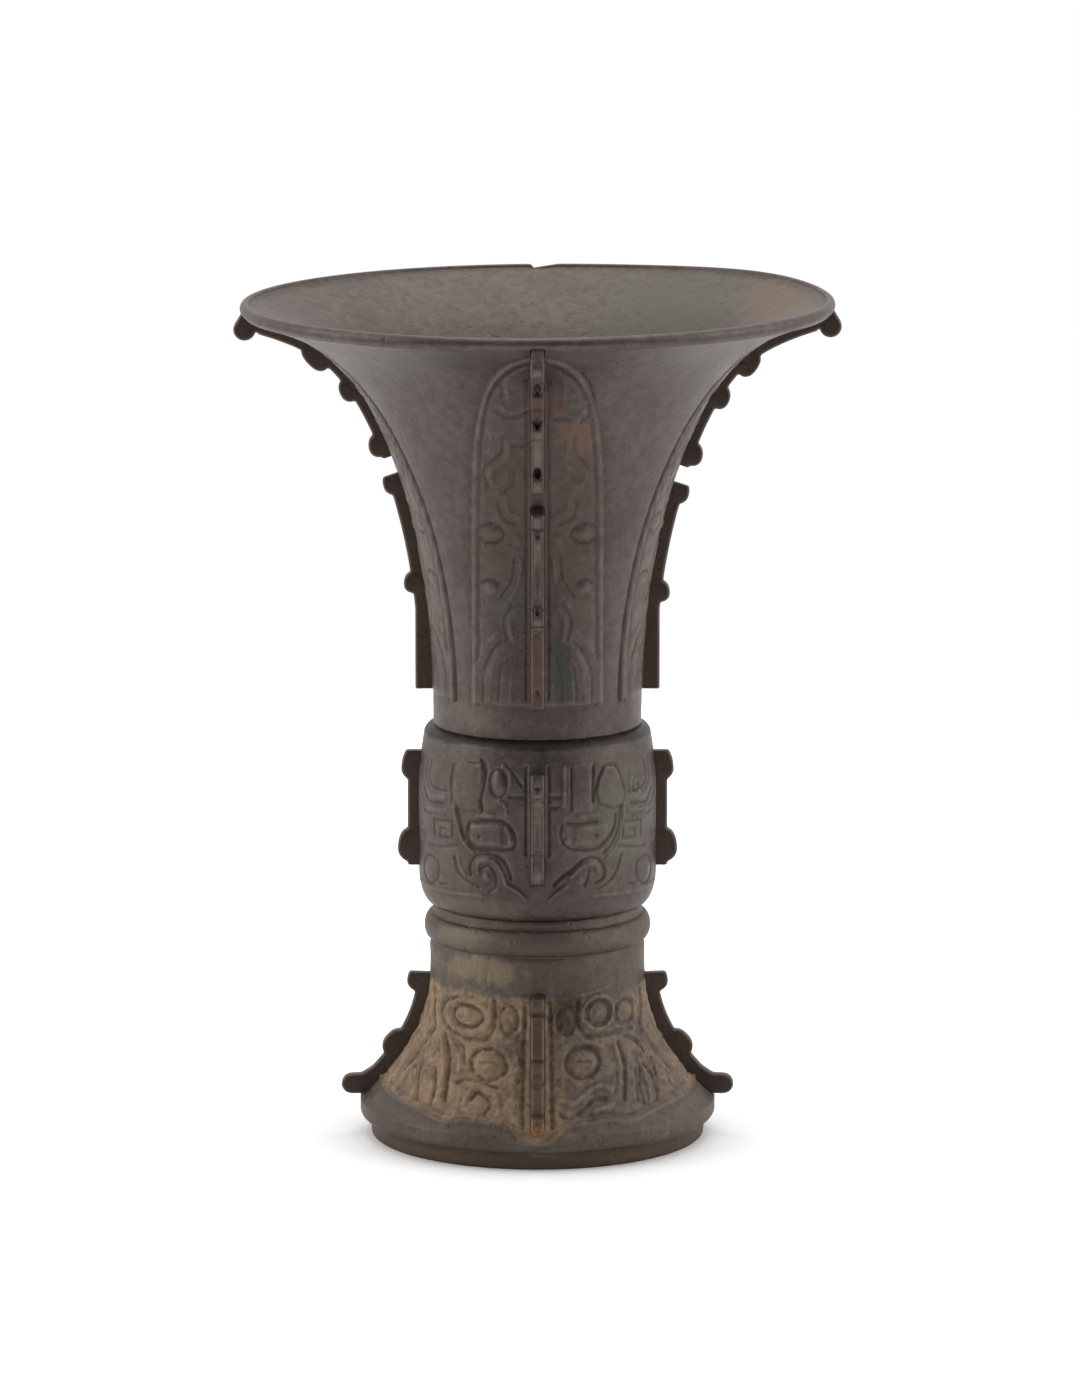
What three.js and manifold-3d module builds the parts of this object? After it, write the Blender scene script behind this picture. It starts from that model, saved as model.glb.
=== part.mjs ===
import * as THREE from 'three';
import { mergeVertices } from 'three/addons/utils/BufferGeometryUtils.js';
import Module from 'manifold-3d';

// A cast bronze gu vase: a wide trumpet neck, a barrel-shaped middle and a flared hollow foot,
// with four hooked flanges at each level and low relief between them.
// The origin is the centre of the foot's underside, +Z is up and the front faces -Y.

// Driving dimensions: heights of the levels from the ground up, in millimetres
const RING_HEIGHT = 5;
const EDGE_HEIGHT = 5.7;
const FLARE_HEIGHT = 39.3;
const BAND_HEIGHT = 9.5;
const BEAD_HEIGHT = 7.9;
const GROOVE_HEIGHT = 3;
const BARREL_HEIGHT = 53.6;
const NECK_HEIGHT = 126;

// Outside radii
const RING_RADIUS = 49.8;
const EDGE_RADIUS = 52.9;
const BAND_RADIUS = 31.9;
const BEAD_RADIUS = 33.6;
const GROOVE_RADIUS = 31.1;
const BARREL_RADIUS = 35.2;
const SHOULDER_RADIUS = 33.6;
const WAIST_RADIUS = 30.8;
const LIP_RADIUS = 87.2;

// The wall, the floor between the bowl and the hollow foot, and the lip
const WALL = 3;
const FLOOR_THICKNESS = 4;
const FLOOR_ROUND = 2;
const LIP_DEPTH = 3.5;
const LIP_WIDTH = 2.6;
const LIP_ROUND = 1.2;
const INNER_ROUND = 0.6;

// Corners: the foot's edge above its ring, and the barrel's bottom and shoulder
const RING_TAPER = 0.3;
const EDGE_ROUND = 2.2;
const EDGE_STEP = 0.4;
const BARREL_CORNER = 10.1;
const SHOULDER_ROUND = 3.1;
const BARREL_SLOPE = 0.606;

// The trumpet swells slowly up the neck and then turns out sharply under the lip
const NECK_SWELL = 34.4;
const SWELL_POWER = 2.55;
const FLARE_POWER = 16.5;
const FOOT_POWER = 2.1;

// The flanges, each standing out by its band's height
const FLANGE_COUNT = 4;
const FLANGE_THICKNESS = 4.4;
const FLANGE_ROOT = 1.4;
const UPPER_BAND = 3.2;
const LIP_BAND = 4.6;
const LIP_MARGIN = 0.4;
const LOWER_BAND = 3.9;
const STRAIGHT_RADIUS = 36.1;
const MIDDLE_BAND = 3.3;
const MIDDLE_LOW_MARGIN = 0.2;
const MIDDLE_HIGH_MARGIN = 0.154;
const FOOT_BAND = 3.9;
const FOOT_MARGIN = 0.4;
const SPIKE_REACH = 58.5;
const SPIKE_HEIGHT = 5.9;
const SPIKE_RISE = 3.7;

// The knob that hangs under the lip at the top of each flange
const KNOB_RADIUS = 3.3;
const KNOB_INSET = 1.3;
const KNOB_DROP = 4.8;
const KNOB_ROOT = 0.7;

// Hooks: [share of the stretch's height, centre above the surface, radius]
const UPPER_HOOKS = [[0.8817, 3.9, 2.4], [0.7984, 3.4, 2.5], [0.6619, 3.4, 2.6]];
const LOWER_HOOKS = [[0.5714, 3.1, 2.7], [0.3333, 3.9, 2.5]];
const MIDDLE_HOOKS = [[0.752, 1.4, 4.1], [0.2925, 2.3, 4]];
const FOOT_HOOKS = [[0.883, 3.4, 3.4], [0.349, 3.4, 3]];

// The hooks of the flanges sit at slightly different heights: front, right, back and left
const HOOK_SLIP = [4.4, 2.7, 1.6, 0];

// The relief
const RELIEF_ROOT = 0.9;
const LINE_WIDTH = 3.2;
const HORN_WIDTH = 7;
const LINE_RISE = 1.2;
const BOSS_RISE = 1.6;
const PANEL_RISE = 0.8;
const BLADE_HALF_WIDTH = 20.7;
const BLADE_MARGIN = 10.4;
const TIP_MARGIN = 3;
const MASK_AZIMUTHS = [0, Math.PI];

// The chip in the lip, and the lip's lift where it was bent up
const CHIP_WIDTH = 5.4;
const CHIP_DEPTH = 1.1;
const CHIP_OFFSET = 2;
const LIP_TILT = 0.5;
const LIP_BEND = 1.2;
const BEND_AZIMUTH = 2.23;
const BEND_SPREAD = 0.44;
const BEND_START = 0.6;

// How finely the solid is faceted
const OUTER_SIDES = 40;
const INNER_SIDES = 24;
const NECK_STEPS = 10;
const FLARE_STEPS = 6;
const BOSS_SIDES = 7;

const EDGE_BASE = RING_HEIGHT;
const FLARE_BASE = EDGE_BASE + EDGE_HEIGHT;
const BAND_BASE = FLARE_BASE + FLARE_HEIGHT;
const BEAD_BASE = BAND_BASE + BAND_HEIGHT;
const GROOVE_BASE = BEAD_BASE + BEAD_HEIGHT;
const BARREL_BASE = GROOVE_BASE + GROOVE_HEIGHT;
const NECK_BASE = BARREL_BASE + BARREL_HEIGHT;
const HEIGHT = NECK_BASE + NECK_HEIGHT;
const LIP_BASE = HEIGHT - LIP_DEPTH;
const SPIKE_LEVEL = FLARE_BASE + SPIKE_RISE;
const BLADE_BASE = NECK_BASE + BLADE_MARGIN;
const BLADE_TIP = LIP_BASE - TIP_MARGIN;
const NECK_FLARE = LIP_RADIUS - WAIST_RADIUS - NECK_SWELL;
const QUARTER = Math.PI / 2;

const wasm = await Module();
wasm.setup();

// Solids

function toManifold(geometry) {
  const bare = geometry.clone();
  bare.deleteAttribute('normal');
  bare.deleteAttribute('uv');
  const merged = mergeVertices(bare, 1e-4);
  return new wasm.Manifold(new wasm.Mesh({
    numProp: 3,
    vertProperties: new Float32Array(merged.attributes.position.array),
    triVerts: new Uint32Array(merged.index.array),
  }));
}

function toGeometry(solid) {
  const mesh = solid.getMesh();
  const geometry = new THREE.BufferGeometry();
  geometry.setAttribute('position', new THREE.BufferAttribute(new Float32Array(mesh.vertProperties), 3));
  geometry.setIndex(new THREE.BufferAttribute(new Uint32Array(mesh.triVerts), 1));
  return geometry;
}

// A lathe turned about Z from [radius, height] points that go up the outside
function turned(points, sides) {
  const profile = points.map(([radius, height]) => new THREE.Vector2(radius, height));
  return new THREE.LatheGeometry(profile, sides).rotateX(QUARTER);
}

// Points on an elliptical arc about [centre radius, centre height]
function arc([radius, height], reach, rise, from, to, steps) {
  return Array.from({ length: steps + 1 }, (_, i) => {
    const angle = from + (to - from) * i / steps;
    return [radius + reach * Math.cos(angle), height + rise * Math.sin(angle)];
  });
}

// The outside profile

function neckRadius(height) {
  const t = THREE.MathUtils.clamp((height - NECK_BASE) / (LIP_BASE - NECK_BASE), 0, 1);
  return WAIST_RADIUS + NECK_SWELL * t ** SWELL_POWER + NECK_FLARE * t ** FLARE_POWER;
}

function footRadius(height) {
  const t = THREE.MathUtils.clamp((BAND_BASE - height) / FLARE_HEIGHT, 0, 1);
  return BAND_RADIUS + (EDGE_RADIUS - BAND_RADIUS) * t ** FOOT_POWER;
}

// Neck heights lie closer together towards the lip, where the curve is tightest
function neckHeights(steps) {
  return Array.from({ length: steps }, (_, i) => {
    const share = 1 - (1 - (i + 1) / steps) ** 1.8;
    return NECK_BASE + (LIP_BASE - NECK_BASE) * share;
  });
}

function footPoints() {
  const points = [[RING_RADIUS - RING_TAPER, 0], [RING_RADIUS, RING_HEIGHT]];
  points.push(...arc([EDGE_RADIUS - EDGE_ROUND, EDGE_BASE + EDGE_ROUND + EDGE_STEP], EDGE_ROUND, EDGE_ROUND,
    -QUARTER, 0, 2));
  for (let i = 0; i <= FLARE_STEPS; i += 1) {
    const height = FLARE_BASE + FLARE_HEIGHT * (i / FLARE_STEPS) ** 1.3;
    points.push([footRadius(height), height]);
  }
  return points;
}

function barrelPoints() {
  const slopeBase = BARREL_BASE + BARREL_SLOPE * BARREL_HEIGHT;
  const slopeTop = NECK_BASE - SHOULDER_ROUND;
  const corner = [GROOVE_RADIUS, BARREL_BASE + BARREL_CORNER];
  const points = arc(corner, BARREL_RADIUS - GROOVE_RADIUS, BARREL_CORNER, -QUARTER, 0, 3);
  for (const t of [0, 0.5]) {
    const radius = BARREL_RADIUS - (BARREL_RADIUS - SHOULDER_RADIUS) * t ** 2;
    points.push([radius, slopeBase + (slopeTop - slopeBase) * t]);
  }
  const shoulder = [WAIST_RADIUS, slopeTop];
  points.push(...arc(shoulder, SHOULDER_RADIUS - WAIST_RADIUS, SHOULDER_ROUND, 0, QUARTER, 2));
  return points;
}

function lipPoints() {
  return arc([LIP_RADIUS - LIP_ROUND, HEIGHT - LIP_ROUND], LIP_ROUND, LIP_ROUND, 0, QUARTER, 1);
}

function outsidePoints() {
  const half = BEAD_HEIGHT / 2;
  const centre = [GROOVE_RADIUS, BEAD_BASE + half];
  const bead = arc(centre, BEAD_RADIUS - GROOVE_RADIUS, half, -QUARTER, QUARTER, 4);
  const neck = neckHeights(NECK_STEPS).map((height) => [neckRadius(height), height]);
  return [...footPoints(), ...bead, ...barrelPoints(), ...neck, ...lipPoints()];
}

const OUTSIDE = outsidePoints();

function outsideRadius(height) {
  for (let i = 1; i < OUTSIDE.length; i += 1) {
    const [r0, z0] = OUTSIDE[i - 1];
    const [r1, z1] = OUTSIDE[i];
    if (height <= z1 && z1 > z0) return r0 + (r1 - r0) * (height - z0) / (z1 - z0);
  }
  return LIP_RADIUS;
}

// The outward normal at a height, as [radial share, vertical share], taken from the smooth curves
function outsideNormal(height) {
  const step = 0.4;
  const onFoot = height < BAND_BASE;
  const curve = onFoot ? footRadius : neckRadius;
  const straight = !onFoot && height < NECK_BASE;
  const slope = straight ? 0 : (curve(height + step) - curve(height - step)) / (2 * step);
  const length = Math.hypot(1, slope);
  return [1 / length, -slope / length];
}

// A point on the surface, raised by some height above it, as [radius, height]
function raised(height, rise) {
  const [outward, upward] = outsideNormal(height);
  return [outsideRadius(height) + outward * rise, height + upward * rise];
}

function body() {
  return toManifold(turned([[0, 0], ...OUTSIDE, [0, HEIGHT]], OUTER_SIDES));
}

// The hollows: the bowl from the lip down to the floor, and the foot from below

function bowl() {
  const floor = BARREL_BASE;
  const foot = GROOVE_RADIUS - WALL;
  const side = BARREL_RADIUS - WALL;
  const mouth = LIP_RADIUS - LIP_WIDTH;
  const points = [[0, floor], [foot - FLOOR_ROUND, floor], [foot, floor + FLOOR_ROUND]];
  points.push([side, floor + BARREL_CORNER + WALL], [side, floor + 0.7 * BARREL_HEIGHT]);
  points.push([WAIST_RADIUS - WALL, NECK_BASE]);
  for (const height of neckHeights(8)) {
    const [radius, level] = raised(height, -WALL);
    if (radius < mouth - INNER_ROUND && level < HEIGHT - INNER_ROUND) points.push([radius, level]);
  }
  points.push([mouth, HEIGHT - INNER_ROUND], [mouth, HEIGHT + WALL], [0, HEIGHT + WALL]);
  return toManifold(turned(points, INNER_SIDES));
}

function footHollow() {
  const ceiling = BARREL_BASE - FLOOR_THICKNESS;
  const ring = RING_RADIUS - WALL;
  const top = BAND_RADIUS - WALL;
  const points = [[0, -WALL], [ring, -WALL], [ring, RING_HEIGHT]];
  for (const share of [0, 0.18, 0.4, 0.65, 1]) {
    const height = FLARE_BASE + FLARE_HEIGHT * share;
    points.push([Math.min(ring, footRadius(height) - WALL), height]);
  }
  points.push([top, ceiling - FLOOR_ROUND], [top - FLOOR_ROUND, ceiling], [0, ceiling]);
  return toManifold(turned(points, INNER_SIDES));
}

// Flanges. A flange's outline follows the surface at its band's height, and hooks stand out of it:
// round and undercut below their centre, and falling back to the band above it.

function placed(hooks, base, height, slip) {
  return hooks.map(([share, above, radius]) => [base + share * height - slip, above, radius]);
}

function ridgeRise(along, hooks, band) {
  let rise = band;
  for (const [centre, above, radius] of hooks) {
    const over = along > centre;
    const share = (along - centre) / (over ? radius * 1.5 : radius);
    if (Math.abs(share) > 1) continue;
    const round = Math.sqrt(1 - share * share);
    rise = Math.max(rise, over ? band + (above + radius - band) * round : above + radius * round);
  }
  return rise;
}

// Levels where the outline needs a point: along the band and round each hook
function outlineLevels(low, high, hooks, spacing) {
  const levels = [low, high];
  for (let level = low + spacing; level < high - spacing / 2; level += spacing) levels.push(level);
  for (const [centre, , radius] of hooks) {
    for (const share of [-1.001, -0.999, -0.6, 0.2, 1, 1.5]) levels.push(centre + share * radius);
  }
  const sorted = levels.filter((level) => level >= low && level <= high).sort((a, b) => a - b);
  return sorted.filter((level, i) => i === 0 || level - sorted[i - 1] > 0.001);
}

function plate(outline, azimuth) {
  const shape = new THREE.Shape(outline.map(([radius, height]) => new THREE.Vector2(radius, height)));
  const geometry = new THREE.ExtrudeGeometry(shape, { depth: FLANGE_THICKNESS, bevelEnabled: false });
  geometry.translate(0, 0, -FLANGE_THICKNESS / 2);
  geometry.rotateX(QUARTER);
  geometry.rotateZ(azimuth - QUARTER);
  return toManifold(geometry);
}

function flangeOutline(low, high, hooks, bandAt, spacing) {
  const levels = outlineLevels(low, high, hooks, spacing);
  const edge = levels.map((level) => raised(level, ridgeRise(level, hooks, bandAt(level))));
  const roots = levels.filter((level, i) => i % 3 === 0 || i === levels.length - 1);
  const root = roots.map((level) => raised(level, -FLANGE_ROOT)).reverse();
  return [...edge, ...root];
}

// The upper stretch starts just below its lowest hook, and its band grows towards the lip
function upperNeckFlange(slip) {
  const hooks = placed(UPPER_HOOKS, NECK_BASE, NECK_HEIGHT, slip);
  const [highest] = hooks[0];
  const [lowest, , radius] = hooks.at(-1);
  const end = LIP_BASE - LIP_MARGIN;
  const share = (level) => THREE.MathUtils.clamp((level - highest) / (end - highest), 0, 1);
  const bandAt = (level) => UPPER_BAND + (LIP_BAND - UPPER_BAND) * share(level);
  return flangeOutline(lowest - 1.3 * radius, end, hooks, bandAt, 7);
}

// The topmost hook hangs below the lip as a round knob
function lipKnob() {
  const centre = [LIP_RADIUS - KNOB_INSET, LIP_BASE - KNOB_DROP];
  const round = arc(centre, KNOB_RADIUS, KNOB_RADIUS, -Math.PI * 0.95, Math.PI * 0.2, 6);
  const top = LIP_BASE + KNOB_ROOT;
  return [[centre[0] - KNOB_RADIUS, top], ...round, [LIP_RADIUS - KNOB_ROOT, top]];
}

// The lower stretch ends just above its highest hook, and runs straight down past the waist
function lowerNeckFlange(slip) {
  const hooks = placed(LOWER_HOOKS, NECK_BASE, NECK_HEIGHT, slip);
  const [highest, , radius] = hooks[0];
  const bandAt = (level) => Math.max(LOWER_BAND, STRAIGHT_RADIUS - neckRadius(level));
  return flangeOutline(BLADE_BASE, highest + 1.1 * radius, hooks, bandAt, 9);
}

function middleFlange() {
  const hooks = placed(MIDDLE_HOOKS, BARREL_BASE, BARREL_HEIGHT, 0);
  const low = BARREL_BASE + MIDDLE_LOW_MARGIN * BARREL_HEIGHT;
  const high = NECK_BASE - MIDDLE_HIGH_MARGIN * BARREL_HEIGHT;
  return flangeOutline(low, high, hooks, () => MIDDLE_BAND, 9);
}

function footFlange() {
  const hooks = placed(FOOT_HOOKS, FLARE_BASE, FLARE_HEIGHT, 0);
  return flangeOutline(SPIKE_LEVEL - SPIKE_HEIGHT / 6, BAND_BASE - FOOT_MARGIN, hooks, () => FOOT_BAND, 6);
}

function spikeOutline() {
  const radius = SPIKE_HEIGHT / 2;
  const inner = footRadius(SPIKE_LEVEL) - 2 * FLANGE_ROOT;
  const end = arc([SPIKE_REACH - radius, SPIKE_LEVEL], radius, radius, -QUARTER, QUARTER, 5);
  return [[inner, SPIKE_LEVEL - radius], ...end, [inner, SPIKE_LEVEL + radius]];
}

function flanges() {
  const solids = [];
  for (let i = 0; i < FLANGE_COUNT; i += 1) {
    const azimuth = i * 2 * Math.PI / FLANGE_COUNT;
    const slip = HOOK_SLIP[i % HOOK_SLIP.length];
    solids.push(plate(upperNeckFlange(slip), azimuth), plate(lipKnob(), azimuth));
    solids.push(plate(lowerNeckFlange(slip), azimuth), plate(middleFlange(), azimuth));
    solids.push(plate(footFlange(), azimuth), plate(spikeOutline(), azimuth));
  }
  return solids;
}

// Relief. A place on the surface is [distance round from the flange, height]; side is 1 or -1.

function onSurface(azimuth, around, height, rise) {
  const [radius, level] = raised(height, rise);
  const angle = azimuth + around / outsideRadius(height);
  return new THREE.Vector3(radius * Math.sin(angle), -radius * Math.cos(angle), level);
}

function closedGeometry(positions, index) {
  const geometry = new THREE.BufferGeometry();
  const numbers = positions.flatMap((position) => position.toArray());
  geometry.setAttribute('position', new THREE.Float32BufferAttribute(numbers, 3));
  geometry.setIndex(index);
  return geometry;
}

// A raised line with a ridged section, swept along a smooth path over the surface
function line(azimuth, side, path, steps, width, rise) {
  const knots = path.map(([around, height]) => new THREE.Vector2(around * side, height));
  const points = new THREE.SplineCurve(knots).getPoints(steps);
  const section = [[-1, -RELIEF_ROOT], [1, -RELIEF_ROOT], [0, rise]];
  const positions = [];
  const index = [];
  points.forEach((point, i) => {
    const before = points[Math.max(i - 1, 0)];
    const after = points[Math.min(i + 1, steps)];
    const along = after.clone().sub(before).normalize();
    const across = new THREE.Vector2(-along.y, along.x).multiplyScalar(width / 2);
    for (const [share, lift] of section) {
      positions.push(onSurface(azimuth, point.x + across.x * share, point.y + across.y * share, lift));
    }
    if (i === steps) return;
    for (let k = 0; k < 3; k += 1) {
      const a = 3 * i + k;
      const b = 3 * i + (k + 1) % 3;
      index.push(a, b, b + 3, a, b + 3, a + 3);
    }
  });
  const last = 3 * steps;
  index.push(0, 2, 1, last, last + 1, last + 2);
  return toManifold(facingOut(closedGeometry(positions, index)));
}

// A rounded boss: an oval dome of two rings and a flat crown
function boss(azimuth, around, height, width, tall, rise) {
  const sides = BOSS_SIDES;
  const rings = [[1, -RELIEF_ROOT], [0.92, rise * 0.45], [0.55, rise]];
  const positions = [];
  const index = [];
  for (const [share, lift] of rings) {
    for (let i = 0; i < sides; i += 1) {
      const angle = i * 2 * Math.PI / sides;
      positions.push(onSurface(azimuth, around + Math.cos(angle) * width / 2 * share,
        height + Math.sin(angle) * tall / 2 * share, lift));
    }
  }
  for (let ring = 0; ring < rings.length - 1; ring += 1) {
    for (let i = 0; i < sides; i += 1) {
      const a = ring * sides + i;
      const b = ring * sides + (i + 1) % sides;
      index.push(a, b, b + sides, a, b + sides, a + sides);
    }
  }
  for (let i = 1; i < sides - 1; i += 1) {
    const top = (rings.length - 1) * sides;
    index.push(0, i + 1, i, top, top + i, top + i + 1);
  }
  return toManifold(facingOut(closedGeometry(positions, index)));
}

// Turns the triangles over where they face inwards, told by the sign of the enclosed volume
function facingOut(geometry) {
  const place = geometry.attributes.position;
  const index = geometry.index.array;
  const corner = [new THREE.Vector3(), new THREE.Vector3(), new THREE.Vector3()];
  let volume = 0;
  for (let i = 0; i < index.length; i += 3) {
    corner.forEach((vertex, k) => vertex.fromBufferAttribute(place, index[i + k]));
    volume += corner[0].dot(corner[1].cross(corner[2]));
  }
  if (volume > 0) return geometry;
  const turnedOver = Array.from(index);
  for (let i = 0; i < turnedOver.length; i += 3) {
    [turnedOver[i + 1], turnedOver[i + 2]] = [turnedOver[i + 2], turnedOver[i + 1]];
  }
  geometry.setIndex(turnedOver);
  return geometry;
}

function bladeHalfWidth(height) {
  const t = THREE.MathUtils.clamp((height - BLADE_BASE) / (BLADE_TIP - BLADE_BASE), 0, 1);
  return BLADE_HALF_WIDTH * Math.sqrt(1 - t ** 8);
}

// The blade's ground: a thin raised sheet that follows the neck
function bladePanel(azimuth) {
  const columns = 5;
  const tip = BLADE_TIP - 0.4;
  const between = neckHeights(NECK_STEPS).filter((height) => height > BLADE_BASE + 3 && height < tip - 0.1);
  const levels = [BLADE_BASE, ...between, tip];
  const positions = [];
  const index = [];
  for (const lift of [-RELIEF_ROOT, PANEL_RISE]) {
    for (const level of levels) {
      for (let i = 0; i <= columns; i += 1) {
        positions.push(onSurface(azimuth, bladeHalfWidth(level) * (2 * i / columns - 1), level, lift));
      }
    }
  }
  const across = columns + 1;
  const layer = across * levels.length;
  for (let row = 0; row < levels.length - 1; row += 1) {
    for (let i = 0; i < columns; i += 1) {
      const a = row * across + i;
      const b = a + across;
      index.push(a, b, a + 1, a + 1, b, b + 1);
      index.push(layer + a, layer + a + 1, layer + b, layer + a + 1, layer + b + 1, layer + b);
    }
  }
  const wall = (a, b) => index.push(a, b, layer + b, a, layer + b, layer + a);
  for (let i = 0; i < columns; i += 1) {
    wall(i, i + 1);
    wall(layer - across + i + 1, layer - across + i);
  }
  for (let row = 0; row < levels.length - 1; row += 1) {
    wall((row + 1) * across, row * across);
    wall(row * across + columns, (row + 1) * across + columns);
  }
  return toManifold(facingOut(closedGeometry(positions, index)));
}

// One half of a blade: a round eye, a lower boss and the hooked jaw between them
function bladeHalf(azimuth, side) {
  const up = (share) => NECK_BASE + share * NECK_HEIGHT;
  const jaw = [[4.6, up(0.431)], [6.2, up(0.368)], [9.6, up(0.313)]];
  return [
    boss(azimuth, 13.9 * side, up(0.492), 6.4, 5.4, PANEL_RISE + BOSS_RISE),
    line(azimuth, side, jaw, 3, LINE_WIDTH, PANEL_RISE + LINE_RISE),
  ];
}

// One half of the mask on the barrel: eye, upright horn, and the curled jaw below
function barrelMaskHalf(azimuth, side) {
  const up = (share) => BARREL_BASE + share * BARREL_HEIGHT;
  const horn = [[17.6, up(0.627)], [17.8, up(0.867)]];
  const jaw = [[4.4, up(0.209)], [9, up(0.324)], [16, up(0.387)], [21, up(0.313)], [17.5, up(0.24)]];
  const claw = [[26, up(0.334)], [25, up(0.209)], [33, up(0.167)], [41, up(0.23)]];
  return [
    boss(azimuth, 16 * side, up(0.486), 10.6, 8, BOSS_RISE),
    line(azimuth, side, horn, 1, HORN_WIDTH, LINE_RISE),
    line(azimuth, side, jaw, 6, LINE_WIDTH, LINE_RISE),
    line(azimuth, side, claw, 3, LINE_WIDTH, LINE_RISE),
  ];
}

// One half of the mask on the foot: eye, curled horn and the border that dips to the flange
function footMaskHalf(azimuth, side) {
  const up = (share) => FLARE_BASE + share * FLARE_HEIGHT;
  const horn = [[12.4, up(0.9)], [22, up(0.93)], [31, up(0.86)], [28, up(0.68)], [20, up(0.68)]];
  const border = [[60, up(0.13)], [44, up(0.1)], [28, up(0.06)], [12, up(0.08)]];
  return [
    boss(azimuth, 14.4 * side, up(0.46), 10, 6.8, BOSS_RISE),
    line(azimuth, side, horn, 6, LINE_WIDTH, LINE_RISE),
    line(azimuth, side, border, 3, LINE_WIDTH, LINE_RISE),
  ];
}

function relief() {
  const solids = [];
  for (let i = 0; i < FLANGE_COUNT; i += 1) {
    const azimuth = i * 2 * Math.PI / FLANGE_COUNT;
    solids.push(bladePanel(azimuth), ...bladeHalf(azimuth, 1), ...bladeHalf(azimuth, -1));
  }
  for (const azimuth of MASK_AZIMUTHS) {
    for (const side of [1, -1]) solids.push(...barrelMaskHalf(azimuth, side), ...footMaskHalf(azimuth, side));
  }
  return solids;
}

// Wear: a chip out of the back of the lip, and the lift of the bent lip
function chip() {
  const half = CHIP_WIDTH / 2;
  const radius = (half * half + CHIP_DEPTH * CHIP_DEPTH) / (2 * CHIP_DEPTH);
  const cutter = new THREE.CylinderGeometry(radius, radius, 4 * LIP_WIDTH, 12);
  cutter.translate(CHIP_OFFSET, LIP_RADIUS, HEIGHT + radius - CHIP_DEPTH);
  return toManifold(cutter);
}

function bendLip(geometry) {
  const place = geometry.attributes.position;
  for (let i = 0; i < place.count; i += 1) {
    const azimuth = Math.atan2(place.getX(i), -place.getY(i));
    const share = THREE.MathUtils.smoothstep(place.getZ(i), NECK_BASE + BEND_START * NECK_HEIGHT, HEIGHT);
    const bend = LIP_BEND * Math.exp(-(((azimuth - BEND_AZIMUTH) / BEND_SPREAD) ** 2));
    place.setZ(i, place.getZ(i) + share * (LIP_TILT * Math.sin(azimuth) + bend));
  }
  return geometry;
}

function vase() {
  const parts = [...flanges(), ...relief()];
  const whole = parts.reduce((sum, solid) => sum.add(solid), body());
  const hollow = whole.subtract(bowl()).subtract(footHollow()).subtract(chip());
  return bendLip(toGeometry(hollow));
}

const bronze = new THREE.MeshStandardMaterial({ color: 0x5f544b, roughness: 0.5, metalness: 0.85 });
const vaseMesh = new THREE.Mesh(vase(), bronze);
vaseMesh.name = 'gu_vase';

const object = new THREE.Group();
object.add(vaseMesh);

export default object;
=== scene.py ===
"""A cast bronze gu vase with its full relief and patina, on a pale floor in soft light."""

import logging
import math
from dataclasses import dataclass, field, replace
from enum import Enum

import bpy
import numpy as np
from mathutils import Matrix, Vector


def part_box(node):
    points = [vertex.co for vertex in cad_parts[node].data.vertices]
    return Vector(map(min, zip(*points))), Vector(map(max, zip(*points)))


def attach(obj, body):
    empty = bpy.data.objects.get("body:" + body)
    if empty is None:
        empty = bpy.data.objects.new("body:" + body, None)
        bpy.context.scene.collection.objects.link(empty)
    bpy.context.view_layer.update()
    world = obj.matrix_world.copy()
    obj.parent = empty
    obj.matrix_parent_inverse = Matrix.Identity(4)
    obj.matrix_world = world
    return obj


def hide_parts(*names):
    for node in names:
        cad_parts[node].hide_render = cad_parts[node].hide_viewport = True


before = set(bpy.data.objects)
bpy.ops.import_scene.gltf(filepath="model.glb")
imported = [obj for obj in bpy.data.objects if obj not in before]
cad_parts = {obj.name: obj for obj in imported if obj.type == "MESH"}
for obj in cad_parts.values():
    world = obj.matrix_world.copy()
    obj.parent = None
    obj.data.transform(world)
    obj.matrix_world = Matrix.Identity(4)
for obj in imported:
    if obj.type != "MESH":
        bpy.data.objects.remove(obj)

log = logging.getLogger("gu_vase")
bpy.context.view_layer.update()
NODE = "gu_vase"
Array = np.ndarray
Point = tuple[float, float]
Triple = tuple[float, float, float]
Row = tuple[float, ...]
Colour = Triple
Piece = bpy.types.Object
Material = bpy.types.Material
Node = bpy.types.Node
Socket = bpy.types.NodeSocket
Tree = bpy.types.NodeTree


def smooth(value: Array, low: float, high: float) -> Array:
    """Return 0 below low, 1 above high and a smooth step between them."""
    share = np.clip((value - low) / (high - low), 0.0, 1.0)
    return share * share * (3.0 - 2.0 * share)


def bell(value: Array, centre: float, width: float) -> Array:
    """Return a smooth hump that is 1 at the centre and 0 from one width away."""
    share = np.clip(np.abs(value - centre) / width, 0.0, 1.0)
    return (1.0 - share * share) ** 2


def arc(centre: Point, reach: Point, start: float, end: float, steps: int) -> list[Point]:
    """Return points along part of an ellipse, from start to end in degrees."""
    angles = np.radians(np.linspace(start, end, steps + 1))
    return [(centre[0] + reach[0] * math.cos(a), centre[1] + reach[1] * math.sin(a)) for a in angles]


def spiral(centre: Point, radius: float, turns: float, start: float, hand: int = 1) -> list[Point]:
    """Lay points along a curl that winds inwards.

    Args:
        centre: Middle of the curl.
        radius: Radius at its outer end.
        turns: Number of turns.
        start: Angle of the outer end in degrees.
        hand: 1 to wind anticlockwise, -1 for clockwise.

    Returns:
        The points from the outer end inwards.
    """
    count = max(8, int(turns * 14))
    points = []
    for i in range(count + 1):
        share = i / count
        angle = math.radians(start) + hand * share * turns * 2 * math.pi
        reach = radius * (1.0 - 0.82 * share)
        points.append((centre[0] + reach * math.cos(angle), centre[1] + reach * math.sin(angle)))
    return points


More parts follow.
